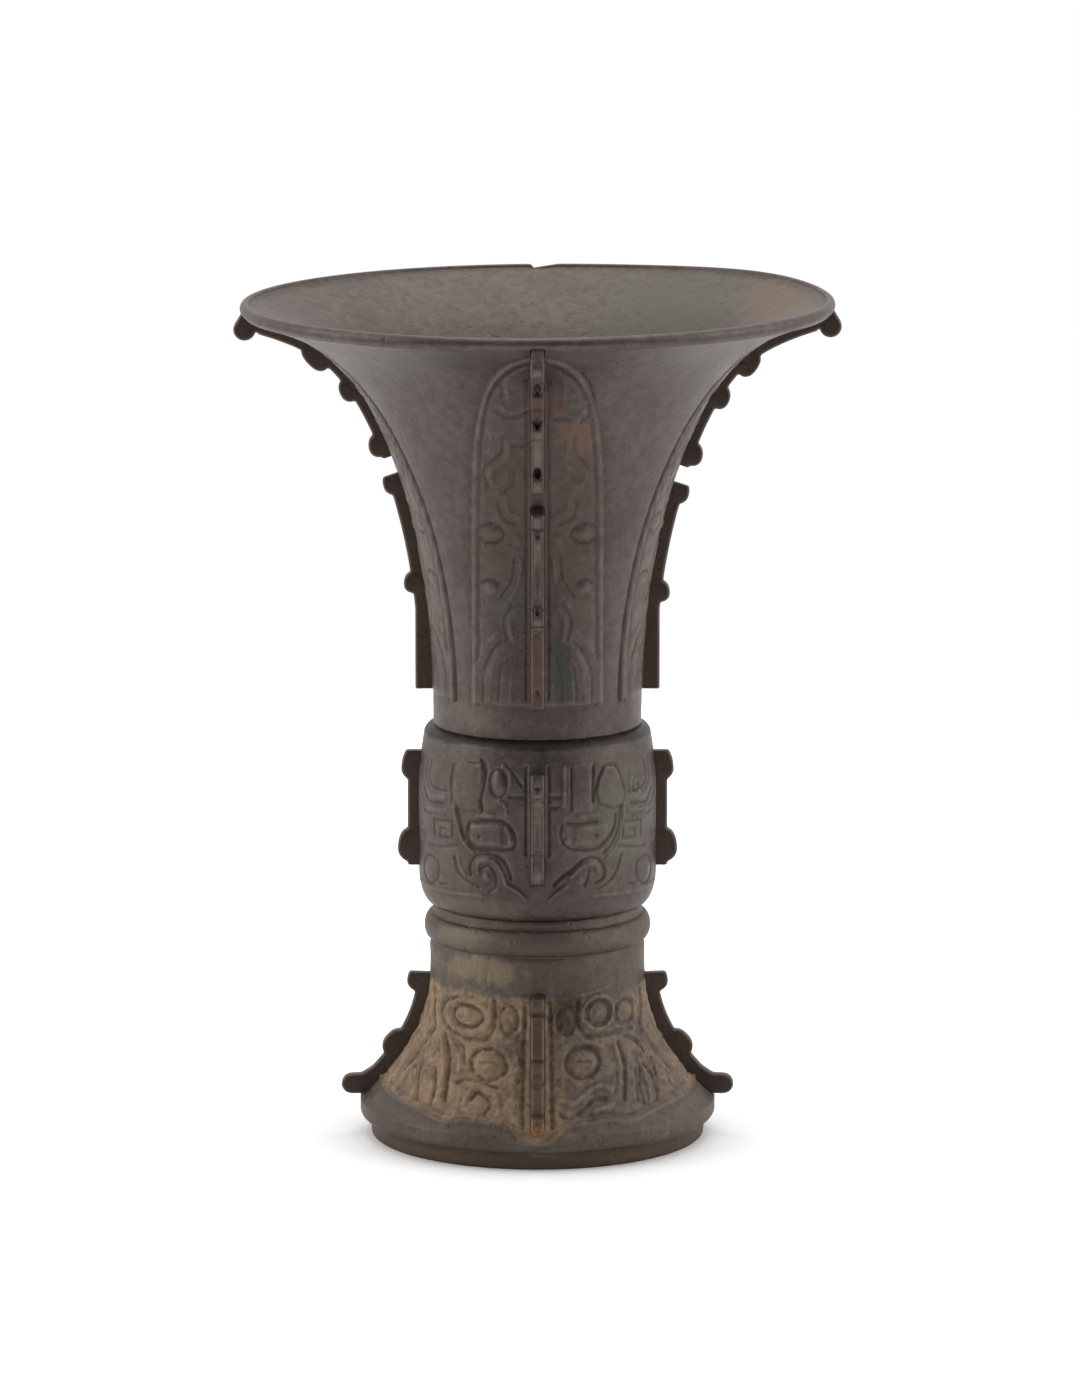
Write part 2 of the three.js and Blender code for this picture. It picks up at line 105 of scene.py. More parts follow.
def flowing(points: list[Point], steps: int = 6) -> Array:
    """Lead a smooth curve through a few points.

    Args:
        points: The points that the curve passes through.
        steps: Number of stretches between two of them.

    Returns:
        The curve as rows of two numbers.
    """
    knots = np.array(points, float)
    if len(knots) < 3:
        return knots
    ends = np.vstack([2 * knots[0] - knots[1], knots, 2 * knots[-1] - knots[-2]])
    shares = np.linspace(0.0, 1.0, steps, endpoint=False)[:, None]
    rows = []
    for p0, p1, p2, p3 in zip(ends[:-3], ends[1:-2], ends[2:-1], ends[3:]):
        bend = 2 * p0 - 5 * p1 + 4 * p2 - p3
        twist = 3 * (p1 - p2) + p3 - p0
        rows.append(0.5 * (2 * p1 + (p2 - p0) * shares + bend * shares**2 + twist * shares**3))
    return np.vstack([*rows, knots[-1:]])


def travelled(rows: Array) -> Array:
    """Return the way along a line of points to each of them."""
    return np.concatenate([[0.0], np.cumsum(np.hypot(*np.diff(rows[:, :2], axis=0).T))])


def evenly(rows: Array, count: int) -> Array:
    """Set a line's points an equal way apart.

    Args:
        rows: The points, with their two places first.
        count: Number of points wanted.

    Returns:
        The new points, with their other numbers led along.
    """
    run = travelled(rows)
    stops = np.linspace(0.0, run[-1], count)
    return np.stack([np.interp(stops, run, column) for column in rows.T], 1)


def shaped(name: str, vertices: Array, faces: list) -> Piece:
    """Make an object with smooth faces and link it to the scene.

    Args:
        name: Name of the object and of its mesh.
        vertices: Places of its corners in metres.
        faces: Numbers of each face's corners.

    Returns:
        The object.
    """
    mesh = bpy.data.meshes.new(name)
    mesh.from_pydata(vertices.tolist(), [], faces)
    mesh.update()
    mesh.polygons.foreach_set("use_smooth", [True] * len(mesh.polygons))
    piece = bpy.data.objects.new(name, mesh)
    bpy.context.scene.collection.objects.link(piece)
    return piece


def store(piece: Piece, name: str, values: Array) -> None:
    """Store one number for each vertex, and 0 for those that follow the last value.

    Args:
        piece: The piece.
        name: Name of the attribute.
        values: The numbers in the order of the vertices.
    """
    flat = np.zeros(len(piece.data.vertices), np.float32)
    flat[:values.size] = values.ravel()
    piece.data.attributes.new(name, "FLOAT", "POINT").data.foreach_set("value", flat)


class Form(Enum):
    """How a mark stands on the surface."""

    RIDGE = "raised line"
    GROOVE = "sunk line"
    DOME = "rounded boss"
    PLATE = "raised field"
    PIT = "sunk spot"


@dataclass(frozen=True)
class Mark:
    """One mark of the relief, in millimetres round from its centre line and up from the ground.

    Attributes:
        form: How the mark stands on the surface.
        points: The points of a line or field, or the centre and half sizes of a boss or pit.
        width: Width of a line, or of a field's sloping edge.
        depth: How far it stands out or is sunk.
        smooth: Whether a line flows through its points or turns sharply at them.
    """

    form: Form
    points: tuple[Point, ...]
    width: float = 1.2
    depth: float = 0.6
    smooth: bool = True

    def mirrored(self) -> "Mark":
        """Return the same mark on the other side of the centre line.

        Returns:
            The mirrored mark.
        """
        points = tuple((-x, z) for x, z in self.points)
        if self.form in (Form.DOME, Form.PIT):
            points = (points[0], self.points[1])
        return Mark(self.form, points, self.width, self.depth, self.smooth)

    def _distance(self, across: Array, level: Array, closed: bool) -> Array:
        """Measure each place's distance from the mark's line.

        Args:
            across: Distance round from the centre line.
            level: Height above the ground.
            closed: Whether the line returns to its start.

        Returns:
            The distances.
        """
        path = flowing(list(self.points)) if self.smooth else np.array(self.points, float)
        if closed:
            path = np.vstack([path, path[:1]])
        nearest = np.full(across.shape, 1e9)
        for (x0, z0), (x1, z1) in zip(path[:-1], path[1:]):
            dx, dz = x1 - x0, z1 - z0
            length = max(dx * dx + dz * dz, 1e-9)
            share = np.clip(((across - x0) * dx + (level - z0) * dz) / length, 0.0, 1.0)
            gap = (across - x0 - share * dx) ** 2 + (level - z0 - share * dz) ** 2
            nearest = np.minimum(nearest, gap)
        return np.sqrt(nearest)

    def _inside(self, across: Array, level: Array) -> Array:
        """Tell which places lie inside the mark's closed outline.

        Args:
            across: Distance round from the centre line.
            level: Height above the ground.

        Returns:
            True for each place inside.
        """
        inside = np.zeros(across.shape, bool)
        count = len(self.points)
        for i in range(count):
            (x0, z0), (x1, z1) = self.points[i], self.points[(i + 1) % count]
            if z0 == z1:
                continue
            crosses = (z0 > level) != (z1 > level)
            inside ^= crosses & (across < (x1 - x0) * (level - z0) / (z1 - z0) + x0)
        return inside

    def height(self, across: Array, level: Array) -> Array:
        """Work out the mark's own height at some places.

        Args:
            across: Distance round from the centre line.
            level: Height above the ground.

        Returns:
            Height above the plain surface, negative in a groove.
        """
        if self.form in (Form.DOME, Form.PIT):
            (x, z), (wide, tall) = self.points
            square = ((across - x) / wide) ** 2 + ((level - z) / tall) ** 2
            share = np.clip(1.0 - square, 0.0, 1.0) ** 0.6
            return self.depth * share * (1.0 if self.form is Form.DOME else -1.0)
        if self.form is Form.PLATE:
            gap = self._distance(across, level, closed=True)
            signed = np.where(self._inside(across, level), gap, -gap)
            return self.depth * smooth(signed, -self.width / 2, self.width / 2)
        gap = self._distance(across, level, closed=False) / (self.width / 2)
        if self.form is Form.RIDGE:
            return self.depth * np.clip(1.0 - gap * gap, 0.0, 1.0) ** 0.7
        return -self.depth * np.clip(1.0 - gap * gap, 0.0, 1.0)


def ridge(points: list[Point], width: float = 1.6, depth: float = 0.7, curved: bool = True) -> Mark:
    """Make a raised line."""
    return Mark(Form.RIDGE, tuple(points), width, depth, curved)


def groove(points: list[Point], width: float = 1.2, depth: float = 0.55, curved: bool = True) -> Mark:
    """Make a sunk line."""
    return Mark(Form.GROOVE, tuple(points), width, depth, curved)


def pit(centre: Point, reach: Point, depth: float = 0.6) -> Mark:
    """Make a small sunk spot."""
    return Mark(Form.PIT, (centre, reach), 0.0, depth)


def plate(points: list[Point], depth: float = 0.7, edge: float = 1.0) -> Mark:
    """Make a raised field with sloping edges."""
    return Mark(Form.PLATE, tuple(points), edge, depth, False)


def lines(form: Form, rows: tuple[Row, ...]) -> list[Mark]:
    """Return lines from rows of width, depth and then points across and up by turns."""
    return [Mark(form, tuple(zip(row[2::2], row[3::2])), row[0], row[1]) for row in rows]


def ridges(*rows: Row) -> list[Mark]:
    """Make raised lines, each from its width, its depth and its points."""
    return lines(Form.RIDGE, rows)


def grooves(*rows: Row) -> list[Mark]:
    """Make sunk lines, each from its width, its depth and its points."""
    return lines(Form.GROOVE, rows)


def domes(*rows: Row) -> list[Mark]:
    """Make rounded bosses, each from its depth, its centre and its half sizes."""
    return [Mark(Form.DOME, ((x, z), (wide, tall)), 0.0, depth) for depth, x, z, wide, tall in rows]


def rings(*rows: Row) -> list[Mark]:
    """Make sunk oval lines, each from its width, its depth, its centre and its half sizes."""
    return [groove(arc((x, z), (a, b), 0, 360, 16), width, depth, False) for width, depth, x, z, a, b in rows]


def both(marks: list[Mark]) -> list[Mark]:
    """Return the marks of one side and their mirror images."""
    return marks + [mark.mirrored() for mark in marks]


def standing(marks: list[Mark], rise: float) -> list[Mark]:
    """Set the raised marks on a ground that itself stands out."""
    sunk = (Form.GROOVE, Form.PIT)
    return [mark if mark.form in sunk else replace(mark, depth=mark.depth + rise) for mark in marks]


@dataclass(frozen=True)
class Motif:
    """A group of marks about one centre line.

    Attributes:
        azimuth: Direction of the centre line, in radians from the front.
        marks: The marks of the motif.
    """

    azimuth: float
    marks: list[Mark]

    def heights(self, azimuths: Array, radii: Array, levels: Array) -> Array:
        """Add up the motif over a grid of places.

        Args:
            azimuths: Direction of each column.
            radii: Radius of each row.
            levels: Height of each row.

        Returns:
            Height above the plain surface at each row and column.
        """
        turn = (azimuths - self.azimuth + math.pi) % (2 * math.pi) - math.pi
        across = turn[None, :] * radii[:, None]
        level = np.repeat(levels[:, None], len(azimuths), axis=1)
        raised = np.zeros(across.shape)
        sunk = np.zeros(across.shape)
        for mark in self.marks:
            spots = np.array(mark.points)
            if mark.form in (Form.DOME, Form.PIT):
                low, high = spots[0] - spots[1], spots[0] + spots[1]
            else:
                low, high = spots.min(0) - mark.width - 2.0, spots.max(0) + mark.width + 2.0
            near = (across > low[0]) & (across < high[0]) & (level > low[1]) & (level < high[1])
            if not near.any():
                continue
            value = mark.height(across[near], level[near])
            raised[near] = np.maximum(raised[near], value)
            sunk[near] = np.minimum(sunk[near], value)
        return raised + sunk


@dataclass(frozen=True)
class Profile:
    """The vase's outline in millimetres, the same as the solid's.

    Attributes:
        ring_height: Height of the standing ring; the names down to height follow the outline upwards.
        lip_depth: Height of the lip's face, then its width and the rounding of its inner edge.
        ring_radius: Radius of the standing ring; the names down to lip_radius are the outline's radii.
        neck_swell: Part of the neck's flare that follows swell_power; the rest follows flare_power.
        barrel_corner: Height of the barrel's rounded bottom, then that of its rounded top.
        barrel_slope: Share of the barrel's height from which it narrows.
        lip_tilt: How far the lip leans up on the right.
        lip_bend: How far the lip is bent up at bend_azimuth.
        bend_start: Share of the neck's height from which lean and bend begin.
        chip_depth: Depth of the chip at the lip's back, from chip_start to chip_end across.
        chip_edge: Width of the chip's steep side.
        chip_fade: Depth below the lip's top at which the chip dies out, and chip_full where it is whole.
    """

    ring_height: float = 5.0
    flare_base: float = 10.7
    band_base: float = 50.0
    bead_base: float = 59.5
    groove_base: float = 67.4
    barrel_base: float = 70.4
    neck_base: float = 124.0
    height: float = 250.0
    lip_depth: float = 3.5
    lip_width: float = 2.6
    inner_round: float = 0.6
    ring_radius: float = 49.8
    edge_radius: float = 52.9
    edge_round: float = 2.2
    edge_step: float = 0.4
    band_radius: float = 31.9
    bead_radius: float = 33.6
    groove_radius: float = 31.1
    barrel_radius: float = 35.2
    shoulder_radius: float = 33.6
    waist_radius: float = 30.8
    lip_radius: float = 87.2
    neck_swell: float = 34.4
    swell_power: float = 2.55
    flare_power: float = 16.5
    foot_power: float = 2.1
    barrel_corner: float = 10.1
    shoulder_round: float = 3.1
    barrel_slope: float = 0.606
    wall: float = 3.0
    floor_thickness: float = 4.0
    floor_round: float = 2.0
    lip_tilt: float = 0.5
    lip_bend: float = 1.2
    bend_azimuth: float = 2.23
    bend_spread: float = 0.44
    bend_start: float = 0.6
    chip_depth: float = 1.15
    chip_start: float = -2.2
    chip_edge: float = 0.9
    chip_end: float = 6.4
    chip_fade: float = 1.6
    chip_full: float = 0.2

    @property
    def lip_base(self) -> float:
        """Height of the lip's lower edge."""
        return self.height - self.lip_depth

    @property
    def top(self) -> float:
        """Height of the lip's highest place, where it is bent up."""
        round_lip = np.linspace(-math.pi, math.pi, 3601)
        return float(self.lifted(round_lip, np.full(round_lip.shape, self.height)).max())

    def neck_radius(self, level: Array) -> Array:
        """Return the plain neck's radius at some heights.

        Args:
            level: The heights.

        Returns:
            The radii.
        """
        share = np.clip((level - self.neck_base) / (self.lip_base - self.neck_base), 0.0, 1.0)
        flare = self.lip_radius - self.waist_radius - self.neck_swell
        return self.waist_radius + self.neck_swell * share**self.swell_power + flare * share**self.flare_power

    def foot_radius(self, level: Array) -> Array:
        """Return the flared foot's radius at some heights."""
        share = np.clip((self.band_base - level) / (self.band_base - self.flare_base), 0.0, 1.0)
        return self.band_radius + (self.edge_radius - self.band_radius) * share**self.foot_power

    def barrel_side(self, level: Array) -> Array:
        """Return the barrel's radius at some heights, with its rounded bottom and top.

        Args:
            level: The heights.

        Returns:
            The radii.
        """
        tall = self.neck_base - self.barrel_base
        slope_base = self.barrel_base + self.barrel_slope * tall
        slope_top = self.neck_base - self.shoulder_round
        slope = np.clip((level - slope_base) / (slope_top - slope_base), 0.0, 1.0)
        radius = self.barrel_radius - (self.barrel_radius - self.shoulder_radius) * slope**2
        low = np.clip((self.barrel_base + self.barrel_corner - level) / self.barrel_corner, 0.0, 1.0)
        radius -= (self.barrel_radius - self.groove_radius) * (1.0 - np.sqrt(1.0 - low**2))
        high = np.clip((level - slope_top) / self.shoulder_round, 0.0, 1.0)
        return radius - (self.shoulder_radius - self.waist_radius) * (1.0 - np.sqrt(1.0 - high**2))

    def blade_width(self, level: Array, half: float, base: float, tip: float) -> Array:
        """Return the half width of a blade at some heights."""
        share = np.clip((level - base) / (tip - base), 0.0, 1.0)
        return half * (1.0 - 0.05 * share) * np.sqrt(1.0 - share**7)

    def lifted(self, azimuth: Array, level: Array) -> Array:
        """Return the heights after the neck's lean and the lip's bend.

        Args:
            azimuth: Direction of each place in radians from the front.
            level: The heights before.

        Returns:
            The heights after.
        """
        start = self.neck_base + self.bend_start * (self.height - self.neck_base)
        share = smooth(level, start, self.height)
        bend = self.lip_bend * np.exp(-(((azimuth - self.bend_azimuth) / self.bend_spread) ** 2))
        return level + share * (self.lip_tilt * np.sin(azimuth) + bend)

    def chip(self, x: Array, y: Array) -> Array:
        """Return how far the lip's top is broken away at some places at its back.

        Args:
            x: Distances to the right of the axis.
            y: Distances behind it.

        Returns:
            The depths.
        """
        rising = np.clip((x - self.chip_start) / self.chip_edge, 0.0, 1.0)
        falling = np.clip((self.chip_end - x) / (self.chip_end - self.chip_start - self.chip_edge), 0.0, 1.0)
        return np.where(y > 0, self.chip_depth * np.minimum(rising, falling), 0.0)


def steady_waves(azimuth: Array, level: Array, seed: int) -> Array:
    """Make the slight unevenness of a cast wall, the same at each run.

    Args:
        azimuth: Direction of each column in radians.
        level: Height of each row.
        seed: Which unevenness to take.

    Returns:
        Values from about -1 to 1 for each row and column.
    """
    random = np.random.default_rng(seed)
    total = np.zeros((len(level), len(azimuth)))
    for _ in range(14):
        around = random.integers(1, 15)
        along = random.uniform(0.02, 0.2)
        turn, lift = random.uniform(0.0, 2 * math.pi, 2)
        share = 1.0 / (1.0 + 0.12 * around + 6.0 * along)
        total += share * np.sin(around * azimuth[None, :] + turn) * np.sin(along * level[:, None] + lift)
    return total / 3.0


def blurred(values: Array, times: int) -> Array:
    """Average each value with its neighbours several times, round the columns and along the rows.

    Args:
        values: The values in rows and columns.
        times: How many times.

    Returns:
        The averages.
    """
    for _ in range(times):
        values = (np.roll(values, 1, 1) + values + np.roll(values, -1, 1)) / 3.0
        padded = np.pad(values, ((1, 1), (0, 0)), mode="edge")
        values = (padded[:-2] + padded[1:-1] + padded[2:]) / 3.0
    return values


def speckled(rows: int, columns: int, seed: int) -> Array:
    """Make a fine roughness over a grid, the same at each run, with values mostly from -1 to 1."""
    values = blurred(np.random.default_rng(seed).normal(size=(rows, columns)), 2)
    return values / (2.0 * values.std())


@dataclass
class Shell:
    """A closed cast wall turned about the axis, with relief on its outside.

    Attributes:
        name: Name of the piece.
        scale: Metres for one millimetre of the profile.
        columns: Number of columns round the axis.
        seed: Which casting unevenness it has.
        unevenness: How far the casting wavers, in millimetres.
        strength: Share of the marks' full depth that is left after wear.
        speckle: Depth of the fine roughness on crusted places, in millimetres.
        even_crust: Crust where none is mapped.
        cavity_reach: How many times the relief is averaged to find its low and high places.
        cavity_depth: Depth that counts as fully low, in millimetres.
        profile: The vase's outline.
    """

    name: str
    scale: float
    columns: int
    seed: int
    unevenness: float = 0.13
    strength: float = 0.75
    speckle: float = 0.14
    even_crust: float = 0.08
    cavity_reach: int = 7
    cavity_depth: float = 0.35
    profile: Profile = field(default_factory=Profile)

    @property
    def azimuths(self) -> Array:
        """Direction of each column, from the front towards the right."""
        return np.linspace(-math.pi, math.pi, self.columns, endpoint=False)

    def outside(self) -> Array:
        """Return the outside profile's points, as rows of radius and height."""
        raise NotImplementedError

    def inside(self) -> Array:
        """Return the inside profile's points, following on from the outside ones."""
        raise NotImplementedError

    def motifs(self) -> list[Motif]:
        """Return the motifs of the relief."""
        raise NotImplementedError

    def poles(self) -> bool:
        """Tell whether the wall's ends meet at the axis, or at each other."""
        return False

    def relief(self, points: Array) -> Array:
        """Add up the relief over the outside grid.

        Args:
            points: Radius and height of each outside row.

        Returns:
            The relief's height at each row and column.
        """
        total = np.zeros((len(points), self.columns))
        for motif in self.motifs():
            total += motif.heights(self.azimuths, points[:, 0], points[:, 1])
        return total

    def build(self) -> Piece:
        """Build the piece as one mesh.

        Returns:
            The piece, with its cavity and relief attributes.
        """
        outer = self.outside()
        inner = self.inside()
        points = np.vstack([outer, inner])
        rows = len(outer)
        relief = np.zeros((len(points), self.columns))
        crust = np.zeros(relief.shape)
        crust[:rows] = self.crusted(outer)
        relief[:rows] = self.strength * self.relief(outer)
        relief += self.speckle * speckled(*relief.shape, self.seed) * crust
        waver = np.zeros(relief.shape)
        waver[:rows] = self.unevenness * steady_waves(self.azimuths, outer[:, 1], self.seed)
        waver[:rows] *= self.calm(outer)[:, None]
        along = np.gradient(outer, axis=0)
        normal = np.stack([along[:, 1], -along[:, 0]], 1)
        normal /= np.maximum(np.linalg.norm(normal, axis=1, keepdims=True), 1e-9)
        normals = np.zeros(points.shape)
        normals[:rows] = normal * self.heading()
        shift = relief + waver
        radius = points[:, 0][:, None] + normals[:, 0][:, None] * shift
        level = points[:, 1][:, None] + normals[:, 1][:, None] * shift
        azimuth = np.repeat(self.azimuths[None, :], len(points), axis=0)
        x = radius * np.sin(azimuth)
        y = -radius * np.cos(azimuth)
        p = self.profile
        edge = smooth(points[:, 1], p.height - p.chip_fade, p.height - p.chip_full)[:, None]
        level = p.lifted(azimuth, level - edge * p.chip(x, y))
        places = np.stack([x, y, level], 2) * self.scale
        piece = self._mesh(places)
        cavity = (blurred(relief, self.cavity_reach) - relief) / self.cavity_depth
        store(piece, "cavity", np.clip(cavity, 0.0, 1.0))
        store(piece, "wear_and_highlight", np.clip(-cavity, 0.0, 1.0))
        store(piece, "crust", crust)
        indices = np.zeros((len(points) - self.poles(), self.columns), np.int32)
        indices[rows - 1:] = 1
        faces = indices.ravel().tolist()
        if self.poles():
            faces += [0] * self.columns + [1] * self.columns
        piece.data.polygons.foreach_set("material_index", faces)
        return piece

    def heading(self) -> float:
        """Return 1 where the outside rows run upwards, and -1 where they run down."""
        return 1.0

    def crusted(self, outer: Array) -> Array:
        """Return how much crust lies at each row and column."""
        return np.full((len(outer), self.columns), self.even_crust)

    def calm(self, outer: Array) -> Array:
        """Return how strongly each row wavers."""
        return np.ones(len(outer))

    def _mesh(self, places: Array) -> Piece:
        """Join a grid of places into a closed mesh.

        Args:
            places: Places in metres, by row and column.

        Returns:
            The piece.
        """
        rows, columns = places.shape[:2]
        row = np.arange(rows - self.poles())[:, None]
        column = np.arange(columns)[None, :]
        beside = (column + 1) % columns
        here = row * columns
        above = (row + 1) % rows * columns
        quads = np.stack([here + column, here + beside, above + beside, above + column], 2).reshape(-1, 4)
        turn = int(self.heading())
        vertices = places.reshape(-1, 3)
        faces = quads[:, ::turn].tolist()
        if self.poles():
            first = len(vertices)
            vertices = np.vstack([vertices, places[0].mean(0), places[-1].mean(0)])
            base = (rows - 1) * columns
            faces += [(first, (i + 1) % columns, i)[::turn] for i in range(columns)]
            faces += [(first + 1, base + i, base + (i + 1) % columns)[::turn] for i in range(columns)]
        return shaped(self.name, vertices, faces)


@dataclass
class Neck(Shell):
    """The trumpet neck with its four blades, the lip and the mouth down to the waist.

    Attributes:
        blade_half: Half width of a blade.
        blade_base: Height of a blade's foot.
        blade_tip: Height of a blade's tip.
        panel_rise: How far a blade's ground stands out.
        rows: Number of rows up the neck.
        inner_rows: Number of rows down the mouth.
        lip_bulge: How far the rounded lip stands out.
        border_inset: How far the raised line lies in from a blade's edge.
        line_inset: How far the sunk line lies in from a blade's edge.
        tip_inset: How far the sunk line lies below a blade's tip.
        tip_range: Heights over which the insets grow towards the tip.
        crust_inset: Widths in from a side blade's edge between which its crust begins.
        crust_end: Heights between which that crust dies out.
        side_crust: Crust on the side blades, followed by that on the front's patches and elsewhere.
        patches: Place across and up and half sizes of the corroded patches on the front blade.
    """

    blade_half: float = 20.7
    blade_base: float = 134.4
    blade_tip: float = 243.5
    panel_rise: float = 0.5
    rows: int = 188
    inner_rows: int = 36
    lip_bulge: float = 1.5
    border_inset: float = 0.9
    line_inset: float = 2.5
    tip_inset: float = 2.6
    tip_range: Point = (225.0, 243.0)
    crust_inset: Point = (3.5, 2.0)
    crust_end: Point = (226.0, 240.0)
    side_crust: float = 0.8
    patch_crust: float = 0.7
    plain_crust: float = 0.05
    patches: tuple[Row, ...] = ((9.5, 214.0, 9.0, 17.0), (-9.0, 209.0, 7.0, 9.0), (10.0, 178.0, 7.0, 8.0))

    @property
    def azimuths(self) -> Array:
        """Direction of each column, closer together about the blades.

        Returns:
            The directions in radians from the front.
        """
        fine = np.linspace(-math.pi, math.pi, 7201)
        beside = np.abs((fine + math.pi / 4) % (math.pi / 2) - math.pi / 4)
        weight = 2.0 - smooth(beside, math.radians(20.0), math.radians(27.0))
        run = np.concatenate([[0.0], np.cumsum((weight[1:] + weight[:-1]) / 2)])
        return np.interp(np.linspace(0.0, run[-1], self.columns, endpoint=False), run, fine)

    def outside(self) -> Array:
        """Return the neck's outside and the rounded lip, with rows an equal way apart.

        Returns:
            The points, as rows of radius and height.
        """
        p = self.profile
        level = np.linspace(p.neck_base, p.lip_base, 2000)
        neck = np.stack([p.neck_radius(level), level], 1)
        neck = neck[neck[:, 0] < p.lip_radius - self.lip_bulge + 0.2]
        neck = evenly(neck, self.rows)
        centre = (p.lip_radius - self.lip_bulge, p.height - p.lip_depth / 2)
        bead = arc(centre, (self.lip_bulge, p.lip_depth / 2), -66, 90, 12)
        mouth = p.lip_radius - p.lip_width
        corner = (mouth + p.inner_round, p.height - p.inner_round)
        inner = arc(corner, (p.inner_round, p.inner_round), 90, 180, 3)
        return np.vstack([neck, bead, inner])

    def inside(self) -> Array:
        """Return the mouth's wall, one wall thickness in from the outside.

        Returns:
            The points, as rows of radius and height.
        """
        p = self.profile
        share = np.linspace(1.0, 0.0, 400)
        level = p.neck_base + (p.lip_base - p.neck_base) * share
        radius = p.neck_radius(level)
        slope = np.gradient(radius, level)
        length = np.hypot(1.0, slope)
        inner = np.stack([radius - p.wall / length, level + p.wall * slope / length], 1)
        limit = p.lip_radius - p.lip_width - p.inner_round
        inner = inner[(inner[:, 0] < limit) & (inner[:, 1] < p.height - p.inner_round)]
        inner = np.vstack([[p.lip_radius - p.lip_width, p.height - p.inner_round - 0.3], inner])
        return np.vstack([evenly(inner, self.inner_rows), [[p.waist_radius - p.wall, p.neck_base]]])

    def crusted(self, outer: Array) -> Array:
        """Roughen the side blades and the corroded places of the front blade.

        Args:
            outer: Radius and height of each outside row.

        Returns:
            The crust from 0 to 1 at each row and column.
        """
        turn = (self.azimuths % math.pi) - math.pi / 2
        beside = np.abs(turn)[None, :] * outer[:, :1]
        level = np.repeat(outer[:, 1:], self.columns, axis=1)
        outside, inside = self.blade_half - self.crust_inset[0], self.blade_half - self.crust_inset[1]
        rough = self.side_crust * (1.0 - smooth(beside, outside, inside))
        rough = rough * smooth(level, self.blade_base, self.blade_base + 2.0)
        rough = rough * (1.0 - smooth(level, *self.crust_end))
        across = self.azimuths[None, :] * outer[:, :1]
        for x, z, wide, tall in self.patches:
            gap = ((across - x) / wide) ** 2 + ((level - z) / tall) ** 2
            rough = np.maximum(rough, self.patch_crust * (1.0 - smooth(gap, 0.6, 1.1)))
        return np.maximum(rough, self.plain_crust * self.calm(outer)[:, None])

    def calm(self, outer: Array) -> Array:
        """Let the wavering die out towards the lip."""
        return 1.0 - smooth(outer[:, 1], self.profile.lip_base - 14.0, self.profile.lip_base - 1.0)

    def blade_outline(self) -> list[Point]:
        """Return the closed outline of a blade.

        Returns:
            The points, from the right foot over the tip to the left one.
        """
        share = np.sin(np.linspace(0, math.pi / 2, 30))
        levels = self.blade_base + (self.blade_tip - self.blade_base) * share
        widths = self.profile.blade_width(levels, self.blade_half, self.blade_base, self.blade_tip)
        side = list(zip(widths.tolist(), levels.tolist()))
        return side + [(-x, z) for x, z in reversed(side[:-1])]

    def ground(self, front: bool) -> list[Mark]:
        """Return a blade's raised ground with the line along its edge, sunk deeper at the sides.

        Args:
            front: Whether it is the front blade's.

        Returns:
            The marks.
        """
        outline = self.blade_outline()
        edge = groove(outline, 1.2, 0.2, False) if front else groove(outline, 2.4, 0.75, False)
        return [
            plate(outline, self.panel_rise, 0.9),
            ridge(self.inset(self.border_inset, self.border_inset), 1.4, self.panel_rise + 0.3, False),
            groove(self.inset(self.line_inset, self.tip_inset), 1.5, 0.4, False),
            edge,
        ]

    def inset(self, side: float, tip: float) -> list[Point]:
        """Return a line inside a blade's outline, in from its sides and below its tip."""
        share = 1 - side / self.blade_half
        return [(x * share, z - tip * smooth(np.array(z), *self.tip_range)) for x, z in self.blade_outline()]

    def lower(self) -> list[Mark]:
        """Return the marks on one half of a blade's lower part.

        Returns:
            The marks.
        """
        return [
            *ridges(
                (1.3, 0.4, 5, 191.6, 8.4, 193.2, 9.4, 198.4), (1.6, 0.45, 4.6, 178.5, 5.6, 171, 9.4, 164.4),
                (1.7, 0.4, 5.4, 164.5, 8, 160.5, 7.2, 154.5),
                (1.4, 0.35, 11.4, 156.8, 15.4, 152.4, 18, 147, 18.5, 141, 18.3, 135.2),
                (1.2, 0.3, 9.4, 152, 12.4, 148, 13.8, 143, 14, 135.4),
                (1.1, 0.25, 6.2, 148.6, 7.6, 142, 7.8, 135.6)),
            *grooves(
                (1.1, 0.4, 11.4, 171.2, 14, 172.2, 16.8, 171),
                (1.1, 0.35, 6.2, 189.4, 10.2, 191.2, 11.6, 196),
                (1.1, 0.4, 6.6, 179, 7.4, 172.6, 10.6, 167.4), (1, 0.3, 7.4, 164.8, 9.8, 160.4, 8.8, 154),
                (1.2, 0.4, 10.6, 153.8, 13.6, 150.2, 16, 145, 16.5, 140, 16.4, 135.2),
                (1, 0.3, 8.4, 149, 10.8, 145, 11.4, 135.4), (1.1, 0.35, 3.1, 235, 3.1, 136)),
            *domes(
                (0.6, 13.8, 186.2, 3.2, 2.2), (0.5, 5.7, 184.6, 1.7, 2.6), (0.25, 12.4, 177.4, 6.2, 5.4),
                (0.55, 14, 169.2, 2.9, 2.1)),
            *rings((1, 0.45, 13.8, 186.2, 4, 3)),
        ]

